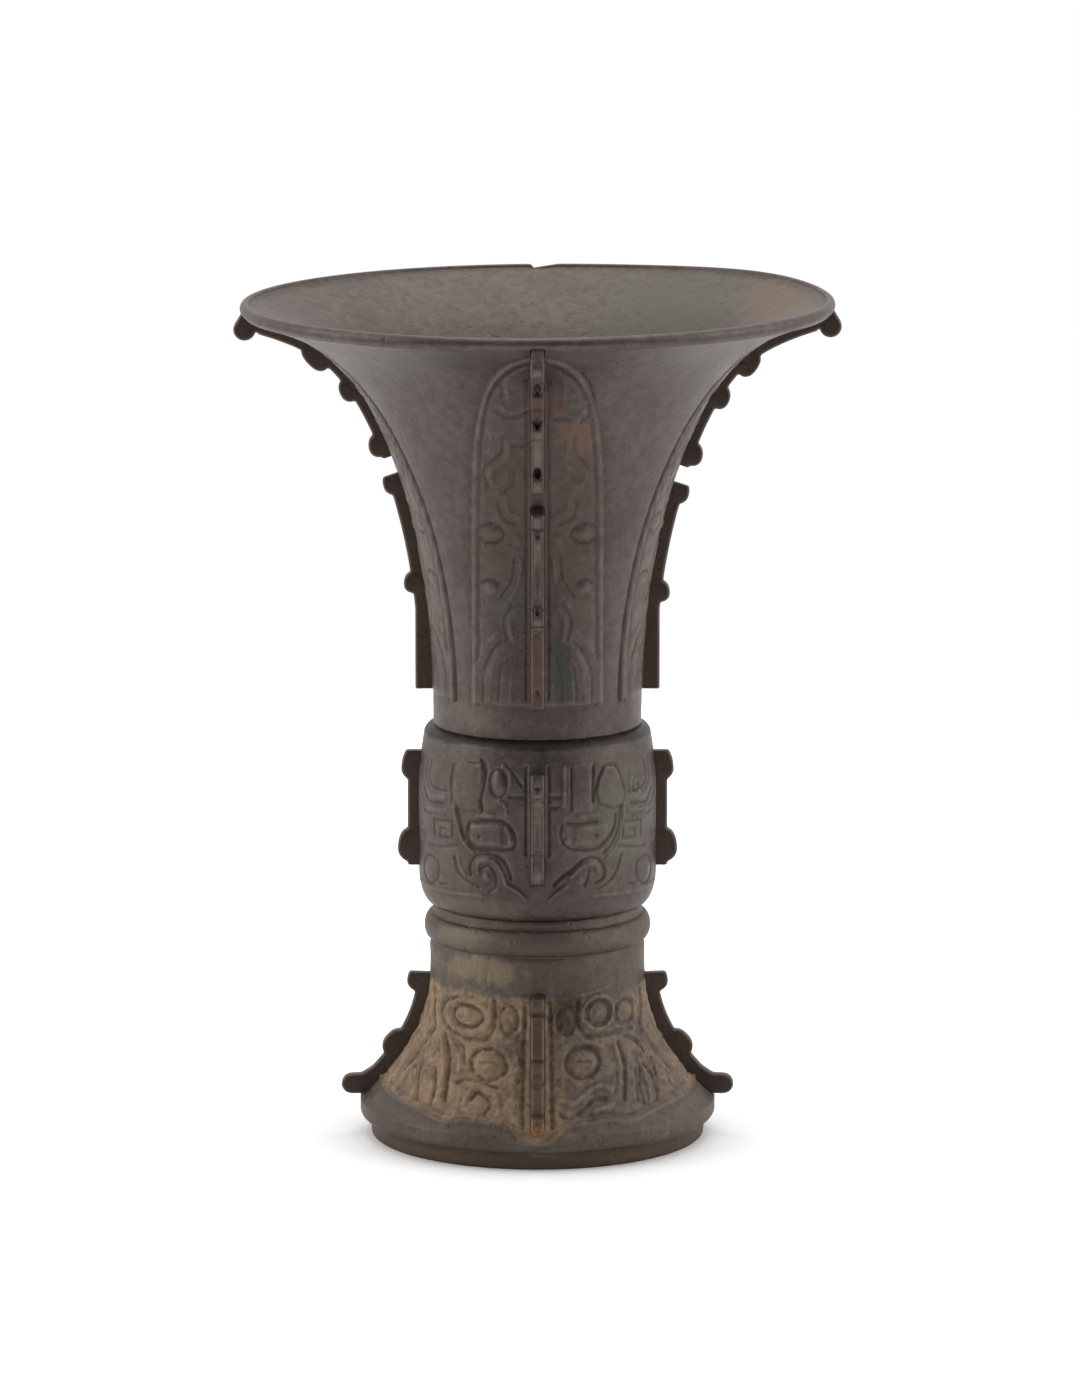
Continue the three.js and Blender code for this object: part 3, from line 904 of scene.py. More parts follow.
    def left(self) -> list[Mark]:
        """Return the marks on the left half of a blade's upper part.

        Returns:
            The marks.
        """
        return [
            *ridges(
                (1.4, 0.4, -10.9, 226.2, -8, 224, -4.2, 224.8, -1.4, 226.4),
                (1.3, 0.35, -8.7, 235.2, -8.6, 231, -7.7, 226.3), (1.3, 0.4, -7, 215.2, -2.8, 215.2),
                (1.5, 0.4, -8.8, 216.3, -8.4, 211, -10.6, 208.3, -13.9, 205.1, -12.5, 201),
                (1.3, 0.35, -8.5, 207.2, -9.2, 202.7, -11.7, 201.1),
                (1.2, 0.3, -14.6, 219.6, -13.6, 214, -14.8, 210.8)),
            *grooves(
                (1.1, 0.35, -12.2, 224.4, -8.4, 222.2, -4, 222.9), (1, 0.3, -10.2, 235, -10.2, 228.6),
                (1, 0.35, -7.4, 213.6, -2.8, 213.6),
                (1.1, 0.35, -10.4, 216.2, -10.2, 212, -12.6, 209.4, -15.8, 205.6, -14.4, 200.4),
                (1, 0.3, -6.6, 207, -7, 202, -9.8, 198.8)),
        ]

    def right(self) -> list[Mark]:
        """Return the marks on the right half of the front blade's upper part.

        Returns:
            The marks.
        """
        return [
            *ridges(
                (1.4, 0.4, 14, 227.7, 13.3, 223.8, 11.2, 222.3),
                (1.3, 0.4, 4.9, 223.2, 7.7, 223.6, 9.8, 222.4), (1.2, 0.3, 7.4, 235, 7.9, 230.2, 7.1, 226.2),
                (1.3, 0.35, 3.4, 215, 7.4, 215.4),
                (1.5, 0.35, 9.2, 216, 8.8, 211.2, 11.2, 208, 14.2, 204.8, 13, 200.8),
                (1.3, 0.3, 8.8, 207, 9.4, 202.8, 11.9, 200.9)),
            *grooves(
                (1, 0.35, 15.4, 226.6, 14.8, 222.6, 12.2, 220.6),
                (1, 0.35, 4.6, 221.4, 7.6, 221.8, 9.6, 220.6),
                (1, 0.3, 10.9, 216, 10.7, 211.8, 13.2, 208.8, 16, 205.2),
                (1.2, 0.4, 12.4, 237, 15.2, 232.4, 16.4, 226.7, 16.4, 219.7)),
        ]

    def motifs(self) -> list[Motif]:
        """Return four blades, one on each flange.

        Returns:
            The blades, from the front one round to the right.
        """
        lower = both(self.lower())
        front = self.ground(True) + standing(lower + self.left() + self.right(), self.panel_rise)
        plain = self.ground(False) + standing(lower + both(self.left()), self.panel_rise)
        return [Motif(i * math.pi / 2, plain if i else front) for i in range(4)]


@dataclass
class Barrel(Shell):
    """The barrel middle with a mask on its front and back.

    Attributes:
        rows: Number of rows up the barrel.
        inner_rows: Number of rows down its inside.
    """

    rows: int = 146
    inner_rows: int = 18

    def outside(self) -> Array:
        """Return the barrel's outside, closer together at its rounded bottom and top.

        Returns:
            The points, as rows of radius and height.
        """
        p = self.profile
        share = np.linspace(0.0, 1.0, self.rows)
        share = share - 0.075 * np.sin(2 * math.pi * share)
        level = p.barrel_base + (p.neck_base - p.barrel_base) * share
        return np.stack([p.barrel_side(level), level], 1)

    def inside(self) -> Array:
        """Return the barrel's inner wall.

        Returns:
            The points, as rows of radius and height.
        """
        p = self.profile
        level = np.linspace(p.neck_base, p.barrel_base, self.inner_rows)
        low = np.clip((level - p.barrel_base) / (p.barrel_corner + p.wall), 0.0, 1.0)
        high = np.clip((p.neck_base - level) / (0.3 * (p.neck_base - p.barrel_base)), 0.0, 1.0)
        side = p.barrel_radius - p.wall
        foot = p.groove_radius - p.wall
        radius = np.minimum(foot + (side - foot) * low, p.waist_radius - p.wall
                            + (side - p.waist_radius + p.wall) * high)
        return np.stack([radius, level], 1)

    def feathers(self) -> list[Mark]:
        """Return the marks beside the left half of a mask, towards the side flange.

        Returns:
            The marks.
        """
        return [
            *ridges(
                (1.3, 0.5, -42.8, 115, -43, 109.4, -38.6, 105.6, -31, 105.7),
                (1.3, 0.5, -47.6, 104.6, -43.4, 101.2, -38, 101.4, -31, 101.8),
                (1.3, 0.4, -49.6, 112, -50.2, 104, -49.4, 94), (1.4, 0.4, -17, 77.8, -30, 77.4, -50, 77.8)),
            *grooves(
                (1.1, 0.5, -34.8, 86.5, -34, 83.6, -34.6, 79.6, -30, 80.1),
                (1, 0.45, -40, 90.2, -33, 90.8, -26, 92),
                (1.1, 0.5, -39, 115.6, -40.1, 110.3, -36.6, 107.8, -30.7, 107.7),
                (1.1, 0.5, -44.1, 106.6, -40, 103.4, -31.4, 103.9),
                (1, 0.45, -45.6, 101.6, -42, 99.6, -38.4, 99.8)),
            *domes((0.65, -39.4, 83, 3.4, 3.2)),
            *rings((1.1, 0.5, -39.4, 83, 4.8, 4.4)),
            groove([(-36.6, 93.4), (-36.8, 98.4), (-28.0, 98.9), (-27.8, 94.0), (-33.6, 93.6), (-33.6, 96.2),
                    (-30.6, 96.4)], 1.1, 0.5, False),
            ridge(spiral((-45.6, 92.0), 2.8, 1.2, 30), 1.1, 0.5),
        ]

    def left(self) -> list[Mark]:
        """Return the marks on the left half of a mask.

        Returns:
            The marks.
        """
        horn = [(-26.4, 104.0), (-27.0, 110.0), (-26.2, 115.6), (-23.6, 118.2), (-17.4, 118.2),
                (-16.4, 115.0), (-16.8, 110.6), (-18.0, 106.6), (-17.6, 103.6), (-22.0, 103.4)]
        return [
            *ridges(
                (1.1, 0.5, -9.2, 98.6, -8.2, 96.6, -7.9, 93.8), (1.1, 0.5, -18.3, 101.9, -13.4, 102.3),
                (1.2, 0.5, -27.4, 105.2, -26.8, 102, -25.2, 97, -23, 93, -20, 90.6),
                (1.1, 0.45, -10.2, 117, -8.2, 115.3, -8, 112),
                (1.1, 0.45, -11.6, 106.8, -9.4, 105.2, -9.2, 102.8),
                (1.2, 0.6, -18.3, 84.7, -18.3, 87.6, -15.5, 88.9, -12.6, 88.4, -10.6, 85.6, -9.4, 82.2),
                (1.1, 0.45, -25.4, 88.9, -24.6, 86, -22.6, 83.6),
                (1.3, 0.5, -9.4, 82, -5.2, 79.6, -3.4, 77.2)),
            *grooves(
                (1.2, 0.6, -21.3, 99.6, -12.3, 100.9, -9.2, 100.3, -7.2, 98.2, -6.4, 95.2, -7.2, 92.9, -12.3,
                 92.2, -18.3, 91.8, -21.2, 93.5, -22.1, 96.4, -21.3, 99.6),
                (1, 0.5, -26.1, 105, -25.4, 102, -23.8, 97.2, -22.4, 94),
                (1.2, 0.5, -16.9, 118.4, -15.5, 116.1, -16.1, 111.1, -17.2, 107, -16.6, 103.4),
                (1.1, 0.45, -28, 104.4, -28.4, 110, -27.6, 116),
                (1, 0.45, -21, 117.3, -18.4, 117.3, -16.4, 117.7, -16.5, 116),
                (1, 0.5, -7.2, 115.2, -4.4, 111.5), (1, 0.5, -8.2, 108.1, -3.4, 108.3),
                (1.1, 0.5, -3.2, 117, -3.2, 91),
                (1.2, 0.6, -20.7, 84, -21, 87, -18.9, 89.7, -15.5, 90.6, -11.3, 90.2, -9.2, 88, -7.7, 84),
                (1.1, 0.5, -16.9, 86.4, -14.4, 87.2, -12.6, 84.7, -12.5, 81.1, -14.5, 79.5),
                (1.1, 0.5, -27, 88.7, -26.3, 85.8, -24.4, 83, -20.1, 81.3, -17.8, 80.5)),
            *domes((0.6, -11.6, 112, 1.7, 3.2), (0.6, -15.4, 83.6, 1.4, 1.4)),
            *rings((1, 0.5, -11.6, 112, 2.6, 4.2)),
            plate([(-20.6, 98.9), (-10.9, 99.8), (-10.9, 93.6), (-18.1, 93.0), (-20.6, 94.8)], 0.75, 1.1),
            pit((-17.5, 95.9), (0.8, 0.8), 0.5),
            plate(horn, 0.5, 1.1),
        ]

    def right(self) -> list[Mark]:
        """Return the marks on the right half of the front mask.

        Returns:
            The marks.
        """
        band = [(10.5, 117.5), (16.4, 117.5), (16.4, 103.5), (10.5, 103.5)]
        bottle = [(20.7, 116.6), (18.6, 112.9), (17.6, 109.0), (19.1, 105.5), (23.8, 103.6), (27.6, 104.2),
                  (28.8, 107.6), (26.4, 113.5), (24.4, 116.2)]
        return [
            *ridges(
                (1.2, 0.45, 7.7, 116.6, 7.7, 105.6), (1.1, 0.5, 12.2, 102, 18.6, 102.2),
                (1.2, 0.55, 9.8, 84.2, 13.2, 87, 17.2, 87.4, 18.8, 85),
                (1.1, 0.45, 28.2, 104, 27.6, 97.4, 25.2, 92, 21.6, 88.6),
                (1.3, 0.45, 8.6, 81.4, 5.4, 79.4, 3.4, 77.2)),
            *grooves(
                (1, 0.45, 10, 116.5, 10, 104.5), (1, 0.5, 16.9, 116.5, 16.7, 106),
                (1, 0.5, 2.9, 108.3, 6.7, 108.2), (1, 0.45, 2.9, 105.2, 6, 105.2),
                (1.1, 0.5, 3.2, 117, 3.2, 91),
                (1.2, 0.6, 7.2, 99.7, 6.7, 96.7, 8.2, 93.6, 10.8, 92.4, 17.3, 91.9, 21.9, 94.4, 24.4, 98.2,
                 25.1, 101.6), (1, 0.5, 8.6, 100.4, 12.6, 99.9, 18, 100.1),
                (1.2, 0.6, 4.6, 82.1, 7.2, 84.5, 10.8, 86.9, 14, 89.2, 17.8, 89.3, 20.7, 86, 20.2, 83, 17.8,
                 81.7), (1, 0.5, 15.6, 86, 15.1, 83.5, 14, 81.1),
                (1.1, 0.5, 26.8, 104, 26, 98, 23.8, 93.4, 20.4, 90.4),
                (1.1, 0.5, 27.4, 89.4, 25.6, 85, 22.6, 81.8, 18.6, 79.8)),
            *domes(
                (0.5, 31.4, 109.8, 1, 1), (0.45, 35.6, 106.4, 1, 0.9), (0.5, 8.9, 94.9, 1, 1.2),
                (0.5, 12.6, 83, 1.2, 1.2)),
            plate(band, 0.35, 0.9),
            plate(bottle, 0.5, 1.1),
            groove([*bottle, bottle[0]], 1.1, 0.45, False),
            ridge(spiral((34.1, 108.8), 3.4, 1.4, 120), 1.1, 0.55),
            ridge(spiral((35.8, 100.6), 3.0, 1.4, 200, -1), 1.1, 0.55),
            plate([(11.3, 98.8), (21.6, 98.9), (21.9, 96.5), (20.8, 94.5), (16.7, 93.2),
                   (11.3, 93.6)], 0.65, 1.1),
            pit((17.6, 96.2), (0.8, 0.8), 0.45),
        ]

    def motifs(self) -> list[Motif]:
        """Return the front and back masks.

        Returns:
            The two masks.
        """
        half = self.left() + self.feathers()
        front = half + self.right() + [mark.mirrored() for mark in self.feathers()]
        return [Motif(0.0, front), Motif(math.pi, both(half))]


@dataclass
class Foot(Shell):
    """The hollow foot with its masks, the plain band, the bead ring and the floor of the bowl.

    Attributes:
        flare_rows: Number of rows up the flare.
        speckle: Depth of the crust's roughness, in millimetres.
        crust_top: Heights between which the panels' crust dies out.
        band_top: Heights between which the crust on the band dies out.
        band_crust: How much of the crust the band has at the left.
        right_loss: How much of its crust the front's right half lacks.
    """

    flare_rows: int = 104
    speckle: float = 0.2
    crust_top: Point = (46.5, 50.0)
    band_top: Point = (57.0, 66.0)
    band_crust: float = 0.5
    right_loss: float = 0.34

    def poles(self) -> bool:
        """The foot's ends meet at the axis."""
        return True

    def heading(self) -> float:
        """The outside rows run down."""
        return -1.0

    def outside(self) -> Array:
        """Return the floor of the bowl, then the outside from the groove down to the ground.

        Returns:
            The points, as rows of radius and height.
        """
        p = self.profile
        floor = [(r, p.barrel_base) for r in np.linspace(1.0, p.groove_radius - 0.4, 5)]
        neck = [(p.groove_radius, p.barrel_base - 0.3), (p.groove_radius, p.barrel_base - 1.6)]
        half = (p.groove_base - p.bead_base) / 2
        bulge = (p.bead_radius - p.groove_radius, half)
        bead = arc((p.groove_radius, p.bead_base + half), bulge, 90, -90, 15)
        band = [(p.groove_radius + 0.3, p.bead_base - 0.6)]
        band += [(p.band_radius - 0.05, z) for z in np.linspace(p.bead_base - 1.6, p.band_base + 1.0, 8)]
        share = np.linspace(1.0, 0.0, self.flare_rows) ** 1.12
        levels = p.flare_base + (p.band_base - p.flare_base) * share
        flare = list(zip(p.foot_radius(levels).tolist(), levels.tolist()))
        edge_base = p.ring_height + p.edge_step + p.edge_round
        edge = [(p.edge_radius, z) for z in np.linspace(p.flare_base - 0.6, edge_base + 0.3, 4)]
        edge += arc((p.edge_radius - p.edge_round, edge_base), (p.edge_round, p.edge_round), 0, -90, 7)
        ring_face = [(p.ring_radius, p.ring_height - 0.2), (p.ring_radius - 0.1, 3.0)]
        ring_face += [(p.ring_radius - 0.2, 1.2)]
        heel = arc((p.ring_radius - 1.0, 0.7), (0.75, 0.7), -10, -90, 3)
        return np.array([*floor, *neck, *bead, *band, *flare, *edge, *ring_face, *heel], float)

    def inside(self) -> Array:
        """Return the ring's underside and the hollow up to its ceiling.

        Returns:
            The points, as rows of radius and height.
        """
        p = self.profile
        ring_inner = p.ring_radius - p.wall
        ceiling = p.barrel_base - p.floor_thickness
        levels = np.linspace(p.flare_base, p.band_base, 12)
        wall = [(min(ring_inner, float(p.foot_radius(z)) - p.wall), float(z)) for z in levels]
        top = p.band_radius - p.wall
        points = [(ring_inner + 0.5, 0.0), (ring_inner, 0.6), (ring_inner, p.ring_height), *wall]
        points += [(top, ceiling - p.floor_round)]
        corner = (top - p.floor_round, ceiling - p.floor_round)
        points += arc(corner, (p.floor_round, p.floor_round), 30, 90, 2)
        points += [(r, ceiling) for r in (18.0, 8.0, 1.0)]
        return np.array(points, float)

    def calm(self, outer: Array) -> Array:
        """Keep the standing ring even."""
        return smooth(outer[:, 1], 1.3, 7.5)

    def left(self) -> list[Mark]:
        """Return the marks on the left half of a mask.

        Returns:
            The marks.
        """
        return [
            *ridges(
                (1.7, 0.62, -27.6, 32.2, -25, 29.6, -24.6, 24.8),
                (1.8, 0.62, -33, 33.4, -30.6, 27.6, -31.2, 18.6),
                (1.8, 0.75, -22.6, 18, -18.4, 22.6, -12.4, 20.4, -11.6, 16.4),
                (1.7, 0.56, -6.4, 35, -10.4, 34.2, -16.4, 33.4)),
            *grooves(
                (2.1, 0.81, -13.1, 45.9, -12.6, 40.9, -14.6, 35.9, -19.5, 34.5, -26, 35, -31.7, 37, -34.2,
                 40.1, -32.3, 43.5, -26.5, 45.6), (1.3, 0.69, -17, 28.5, -12.5, 28.8),
                (1.7, 0.69, -29.1, 34.4, -24, 32.6, -22.6, 28),
                (2, 0.88, -31.3, 34.4, -28.6, 28.3, -29.3, 18.2),
                (1.7, 0.75, -20.7, 19.1, -17.5, 20.8, -14.2, 18.4, -15.9, 15.8),
                (1.6, 0.62, -25.4, 22.6, -20.4, 24.2, -12, 22.6)),
            *domes(
                (0.6, -21.8, 41, 2.8, 1.7), (0.8, -14.9, 28.4, 4.4, 3), (0.6, -17.2, 17.8, 1.5, 1.2),
                (0.5, -6.6, 24.4, 1.1, 1.1), (0.5, -7, 20.6, 1.1, 1), (0.45, -5.8, 30, 1, 1.3),
                (0.5, -8.4, 41, 1.9, 2.8)),
            *rings(
                (1.6, 0.78, -22.4, 40.8, 5.6, 3), (1.8, 0.84, -14.9, 28.4, 5.8, 4.2),
                (1.4, 0.6, -8.4, 41, 2.9, 3.9)),
            ridge(arc((-22.4, 40.8), (8.4, 4.5), 0, 360, 18), 1.7, 0.6, False),
            groove(spiral((-21.8, 41.0), 1.9, 1.1, 160), 0.9, 0.4),
        ]

    def panel(self) -> list[Mark]:
        """Return the curls on the left, between a mask and the side flange.

        Returns:
            The marks.
        """
        return [
            *ridges(
                (1.8, 0.62, -41.2, 46, -40.6, 40, -39.2, 35.8, -44.7, 30.1, -53.3, 23, -60, 18),
                (1.7, 0.56, -44.4, 41, -47.4, 35, -52.2, 30.6)),
            *grooves(
                (1.6, 0.56, -39.4, 45.6, -38.8, 40, -37.2, 35.4, -42.8, 29.4, -51.4, 21.8),
                (1.6, 0.62, -34.2, 25.2, -33.4, 20.4, -34.6, 16.4),
                (1.6, 0.62, -40.8, 26.6, -41.4, 21, -40.2, 16.8),
                (1.4, 0.56, -47.6, 22.6, -48.8, 18.8, -52, 17.4),
                (1.6, 0.56, -46.4, 42.6, -49.4, 36.4, -54.2, 31.8)),
            *domes((0.4, -31.6, 22, 1.1, 1), (0.4, -26.4, 22.4, 1, 1), (0.45, -35, 17.6, 1.2, 0.9)),
            ridge(spiral((-35.3, 28.6), 2.4, 1.3, 100), 1.1, 0.5),
            ridge(spiral((-37.6, 22.4), 2.6, 1.3, 200, -1), 1.1, 0.55),
            ridge(spiral((-44.2, 22.6), 2.6, 1.3, 20), 1.1, 0.5),
        ]

    def right(self) -> list[Mark]:
        """Return the marks on the right half of the front mask.

        Returns:
            The marks.
        """
        return [
            *ridges(
                (1.8, 0.62, 7.4, 33.4, 13.2, 34.6, 19.8, 32.6), (1.7, 0.56, 24.2, 32.4, 26, 26.6, 25.2, 20.4),
                (1.8, 0.62, 33.8, 27.6, 36.6, 22.8, 37.2, 17),
                (1.8, 0.69, 6.6, 19.6, 10.4, 18.4, 14.2, 20.8, 18.4, 22.4, 23, 21.2),
                (1.6, 0.56, 17, 16.4, 19.2, 16.8, 21.6, 17.2)),
            *grooves(
                (1.8, 0.75, 12.2, 45.6, 11.6, 40.6, 14.2, 36.4, 20, 35.6, 26.6, 36, 32.4, 36),
                (1.3, 0.69, 10.4, 29.3, 15.6, 28.9), (1.7, 0.75, 28.3, 34.9, 34.8, 31.9, 36.7, 29),
                (1.7, 0.75, 26, 33, 28, 27, 27.2, 18.4), (1.6, 0.69, 35.9, 25.9, 39.5, 21.7, 40.4, 16.8),
                (1.6, 0.69, 32.4, 25.2, 32.2, 17.9),
                (1.7, 0.75, 6.3, 16.2, 9.2, 15, 13.8, 17.1, 16.9, 19.4, 20.9, 19.1)),
            *domes(
                (0.5, 19.1, 42.1, 2.4, 1.8), (0.5, 29.8, 40.9, 2.5, 1.9), (0.8, 13.6, 28.9, 4.1, 2.9),
                (0.45, 22.8, 17.6, 1.2, 1), (0.35, 27.6, 39, 0.9, 0.9), (0.45, 8.4, 40.6, 1.9, 2.8),
                (0.45, 7, 24.2, 1.1, 1.1)),
            *rings(
                (1.8, 0.78, 19.1, 42.1, 4, 3.3), (1.8, 0.78, 29.8, 40.9, 4.2, 3.4),
                (1.8, 0.84, 13.6, 28.9, 5.4, 4.1), (1.4, 0.6, 8.4, 40.6, 2.9, 3.9)),
            ridge(arc((19.1, 42.1), (5.7, 4.7), 0, 360, 18), 1.4, 0.45, False),
        ]

    def crusted(self, outer: Array) -> Array:
        """Crust the panels above the lower border, less at the front's right, and the band at the left.

        Args:
            outer: Radius and height of each outside row.

        Returns:
            The crust from 0 to 1 at each row and column.
        """
        turn = (self.azimuths + math.pi / 2) % math.pi - math.pi / 2
        across = np.abs(turn)[None, :] * outer[:, :1]
        level = np.repeat(outer[:, 1:], self.columns, axis=1)
        line = np.interp(across, *zip(*self.border_line))
        ends = smooth(level, *self.crust_top)
        panel = smooth(level - line, -1.2, 0.8) * (1.0 - ends)
        left = smooth(-np.sin(self.azimuths), -0.2, 0.7)[None, :]
        band = self.band_crust * left * ends * (1.0 - smooth(level, *self.band_top))
        front = 1.0 - smooth(np.abs(self.azimuths), 0.7, 1.5)
        right = smooth(np.sin(self.azimuths), -0.1, 0.45)
        return panel * (1.0 - self.right_loss * right * front)[None, :] + band

    @property
    def border_line(self) -> list[Point]:
        """The lower border of half a mask, from the front flange to the side one."""
        return [(0.0, 8.2), (2.5, 8.8), (6.3, 11.5), (9.8, 13.1), (13.7, 13.5), (22.1, 13.9), (28.7, 12.9),
                (39.5, 14.7), (55.0, 15.9), (76.0, 17.0)]

    def border(self) -> list[Mark]:
        """Return the lines above and below a mask.

        Returns:
            The marks of both halves.
        """
        lower = self.border_line
        upper = [(0.0, 46.9), (5.6, 47.1), (9.9, 47.4), (19.8, 48.6), (23.3, 49.2)]
        groove_line = [(x, z + 1.9) for x, z in lower[2:]]
        side = [ridge(lower, 1.3, 0.5), groove(groove_line, 1.1, 0.3), ridge(upper, 1.1, 0.3),
                groove([(3.4, 46.0), (3.8, 30.0), (4.2, 13.0)], 1.8, 0.62)]
        return both(side)

    def motifs(self) -> list[Motif]:
        """Return the front and back masks.

        Returns:
            The two masks with their borders.
        """
        half = self.left() + self.panel()
        front = self.border() + half + self.right() + [mark.mirrored() for mark in self.panel()]
        return [Motif(0.0, front), Motif(math.pi, self.border() + both(half))]


@dataclass(frozen=True)
class Hook:
    """A rounded hook on a flange's edge.

    Attributes:
        level: Height of the surface that it stands on.
        above: Height of its centre above the surface.
        radius: Its radius.
    """

    level: float
    above: float
    radius: float


@dataclass(frozen=True)
class Stretch:
    """One stretch of flange.

    Attributes:
        low: Height of its lower end.
        high: Height of its upper end.
        band: How far its plain edge stands out, or the radius it keeps where it runs straight.
        hooks: Its hooks.
        straight: Radius that the edge keeps at least.
        widening: How much wider the edge grows towards the lip, where it ends in the knob.
    """

    low: float
    high: float
    band: float
    hooks: tuple[Hook, ...]
    straight: float = 0.0
    widening: float = 0.0


# Angles of the rounded edges of a flange's section, in degrees.
ROUNDING = (0, 22, 45, 68, 90)
# Places across half a flange's face, each with its share of the root and, as a negative number, of the pits.
FACE_STEPS = [(0.95, 0.0, 0.0), (0.7, 0.0, -0.7), (0.3, 0.0, -1.0), (0.0, 0.0, -1.0)]
# Columns of the section that form its face, where painted highlights go, and those in the middle of the pits,
# where painted shadow goes.
FACE_COLUMNS = slice(6, 13)
PIT_COLUMNS = slice(8, 11)


@dataclass
class Flanges:
    """The hooked flanges: four at each level, and the knobs under the lip.

    Attributes:
        name: Name of the piece.
        scale: Metres for one millimetre of the profile.
        thickness: Thickness of a flange.
        root: How far a flange is let into the wall.
        edge: Radius of a flange's rounded edges.
        taper: How much thinner each side is at its edge than at its root.
        step: Way between two points of its outline.
        corner: How far the outline's corners are rounded.
        slips: How far the neck's hooks are set down: front, right, back and left.
        pits: Height, half height and depth of each pit in the front flange's face, darkened further by
            painted shadow.
        lit_blocks: Height and half height of each lighter stretch of that face, a painted highlight where its
            hooks catch the light.
        upper, lower, middle, foot: Share of the height, centre above the surface and radius of each hook
            in the upper neck, the lower neck, the barrel and the foot.
        bands: How far the plain edge stands out in those four stretches.
        lower_base: Height of the lower neck's stretch, which keeps at least the radius lower_straight.
        knob_widening: How much wider the upper stretch grows towards its knob.
        middle_margins: Shares of the barrel's height left free below and above its stretch.
        spike_reach: Radius of the spike's tip, followed by the spike's thickness and height.
        knob_radius: The knob's radius, followed by how far its centre lies in from the lip and below it.
        knob_reach: Depth below the lip to which the flange gives way to its knob.
        profile: The vase's outline.
    """

    name: str
    scale: float
    thickness: float = 4.4
    root: float = 1.4
    edge: float = 0.85
    taper: float = 0.25
    step: float = 0.4
    corner: float = 1.1
    slips: tuple[float, ...] = (4.4, 2.7, 1.6, 0.0)
    spike_reach: float = 58.5
    spike_height: float = 5.9
    spike_level: float = 14.4
    knob_radius: float = 3.3
    knob_inset: float = 1.3
    knob_drop: float = 4.8
    knob_reach: float = 8.2
    knob_widening: float = 1.4
    pits: tuple[Triple, ...] = ((232.5, 2.6, 0.9), (221.0, 1.9, 1.3), (205.6, 1.7, 1.3), (186.5, 1.4, 0.7),
                                (174.0, 8.5, 0.6), (163.6, 1.4, 0.9), (139.6, 1.2, 0.7), (111.6, 1.3, 0.9),
                                (108.2, 0.7, 0.7), (98.0, 6.0, 0.35), (15.6, 0.5, 0.5), (13.4, 0.5, 0.5))
    lit_blocks: tuple[Point, ...] = ((236.3, 5.3), (213.0, 5.6), (201.6, 2.0), (190.7, 2.2), (175.7, 8.0),
                                 (160.3, 2.8), (98.0, 16.0))
    upper: tuple[Triple, ...] = ((0.8817, 3.9, 2.4), (0.7984, 3.4, 2.5), (0.6619, 3.4, 2.6))
    lower: tuple[Triple, ...] = ((0.5714, 3.1, 2.7), (0.3333, 3.9, 2.5))
    middle: tuple[Triple, ...] = ((0.752, 1.4, 4.1), (0.2925, 2.3, 4.0))
    foot: tuple[Triple, ...] = ((0.883, 3.4, 3.4), (0.349, 3.4, 3.0))
    bands: tuple[float, ...] = (3.2, 3.9, 3.3, 3.9)
    lower_base: float = 134.4
    lower_straight: float = 36.1
    middle_margins: Point = (0.2, 0.154)
    profile: Profile = field(default_factory=Profile)

    def surface(self, level: float) -> float:
        """Return the plain wall's radius at a height.

        Args:
            level: The height.

        Returns:
            The radius.
        """
        p = self.profile
        height = np.array(float(level))
        if level < p.flare_base:
            return p.edge_radius
        if level < p.band_base:
            return float(p.foot_radius(height))
        if level < p.barrel_base:
            return p.band_radius
        if level < p.neck_base:
            return float(p.barrel_side(height))
        return float(p.neck_radius(height))

    def normal(self, level: float) -> Point:
        """Return the wall's outward direction at a height, as radial and vertical shares.

        Args:
            level: The height.

        Returns:
            The two shares.
        """
        p = self.profile
        if p.band_base <= level < p.neck_base:
            return 1.0, 0.0
        near = min(level + 0.4, p.lip_base)
        slope = (self.surface(near) - self.surface(near - 0.8)) / 0.8
        length = math.hypot(1.0, slope)
        return 1.0 / length, -slope / length

    def rise(self, level: float, stretch: Stretch) -> float:
        """Return how far a stretch's edge stands out at a height.

        Args:
            level: The height.
            stretch: The stretch.

        Returns:
            The distance from the wall.
        """
        widening = 0.0
        if stretch.widening:
            start = stretch.hooks[0].level
            share = min(max((level - start) / (stretch.high - start), 0.0), 1.0)
            widening = stretch.widening * share
        band = max(stretch.band + widening, stretch.straight - self.surface(level))
        height = band
        for hook in stretch.hooks:
            over = level > hook.level
            share = (level - hook.level) / (hook.radius * (1.5 if over else 1.0))
            if abs(share) > 1:
                continue
            bulge = math.sqrt(1 - share * share)
            foot = band if over else hook.above
            height = max(height, foot + (hook.above + hook.radius - foot) * bulge)
        return height

    def levels(self, stretch: Stretch) -> list[float]:
        """Return the levels where a stretch's edge needs a point.

        Args:
            stretch: The stretch.

        Returns:
            The heights from low to high.
        """
        levels = list(np.arange(stretch.low, stretch.high, self.step)) + [stretch.high]
        shares = (-1.001, -0.985, -0.94, -0.85, 1.45, 1.499)
        for hook in stretch.hooks:
            levels += [hook.level + share * hook.radius for share in shares]
        inside = sorted(level for level in levels if stretch.low <= level <= stretch.high)
        return [level for i, level in enumerate(inside) if i == 0 or level - inside[i - 1] > 0.02]

    def hooks(self, base: float, tall: float, slip: float, shapes: tuple[Triple, ...]) -> tuple[Hook, ...]:
        """Place hooks from shares of a stretch's height, centres above the surface and radii."""
        return tuple(Hook(base + share * tall - slip, above, radius) for share, above, radius in shapes)

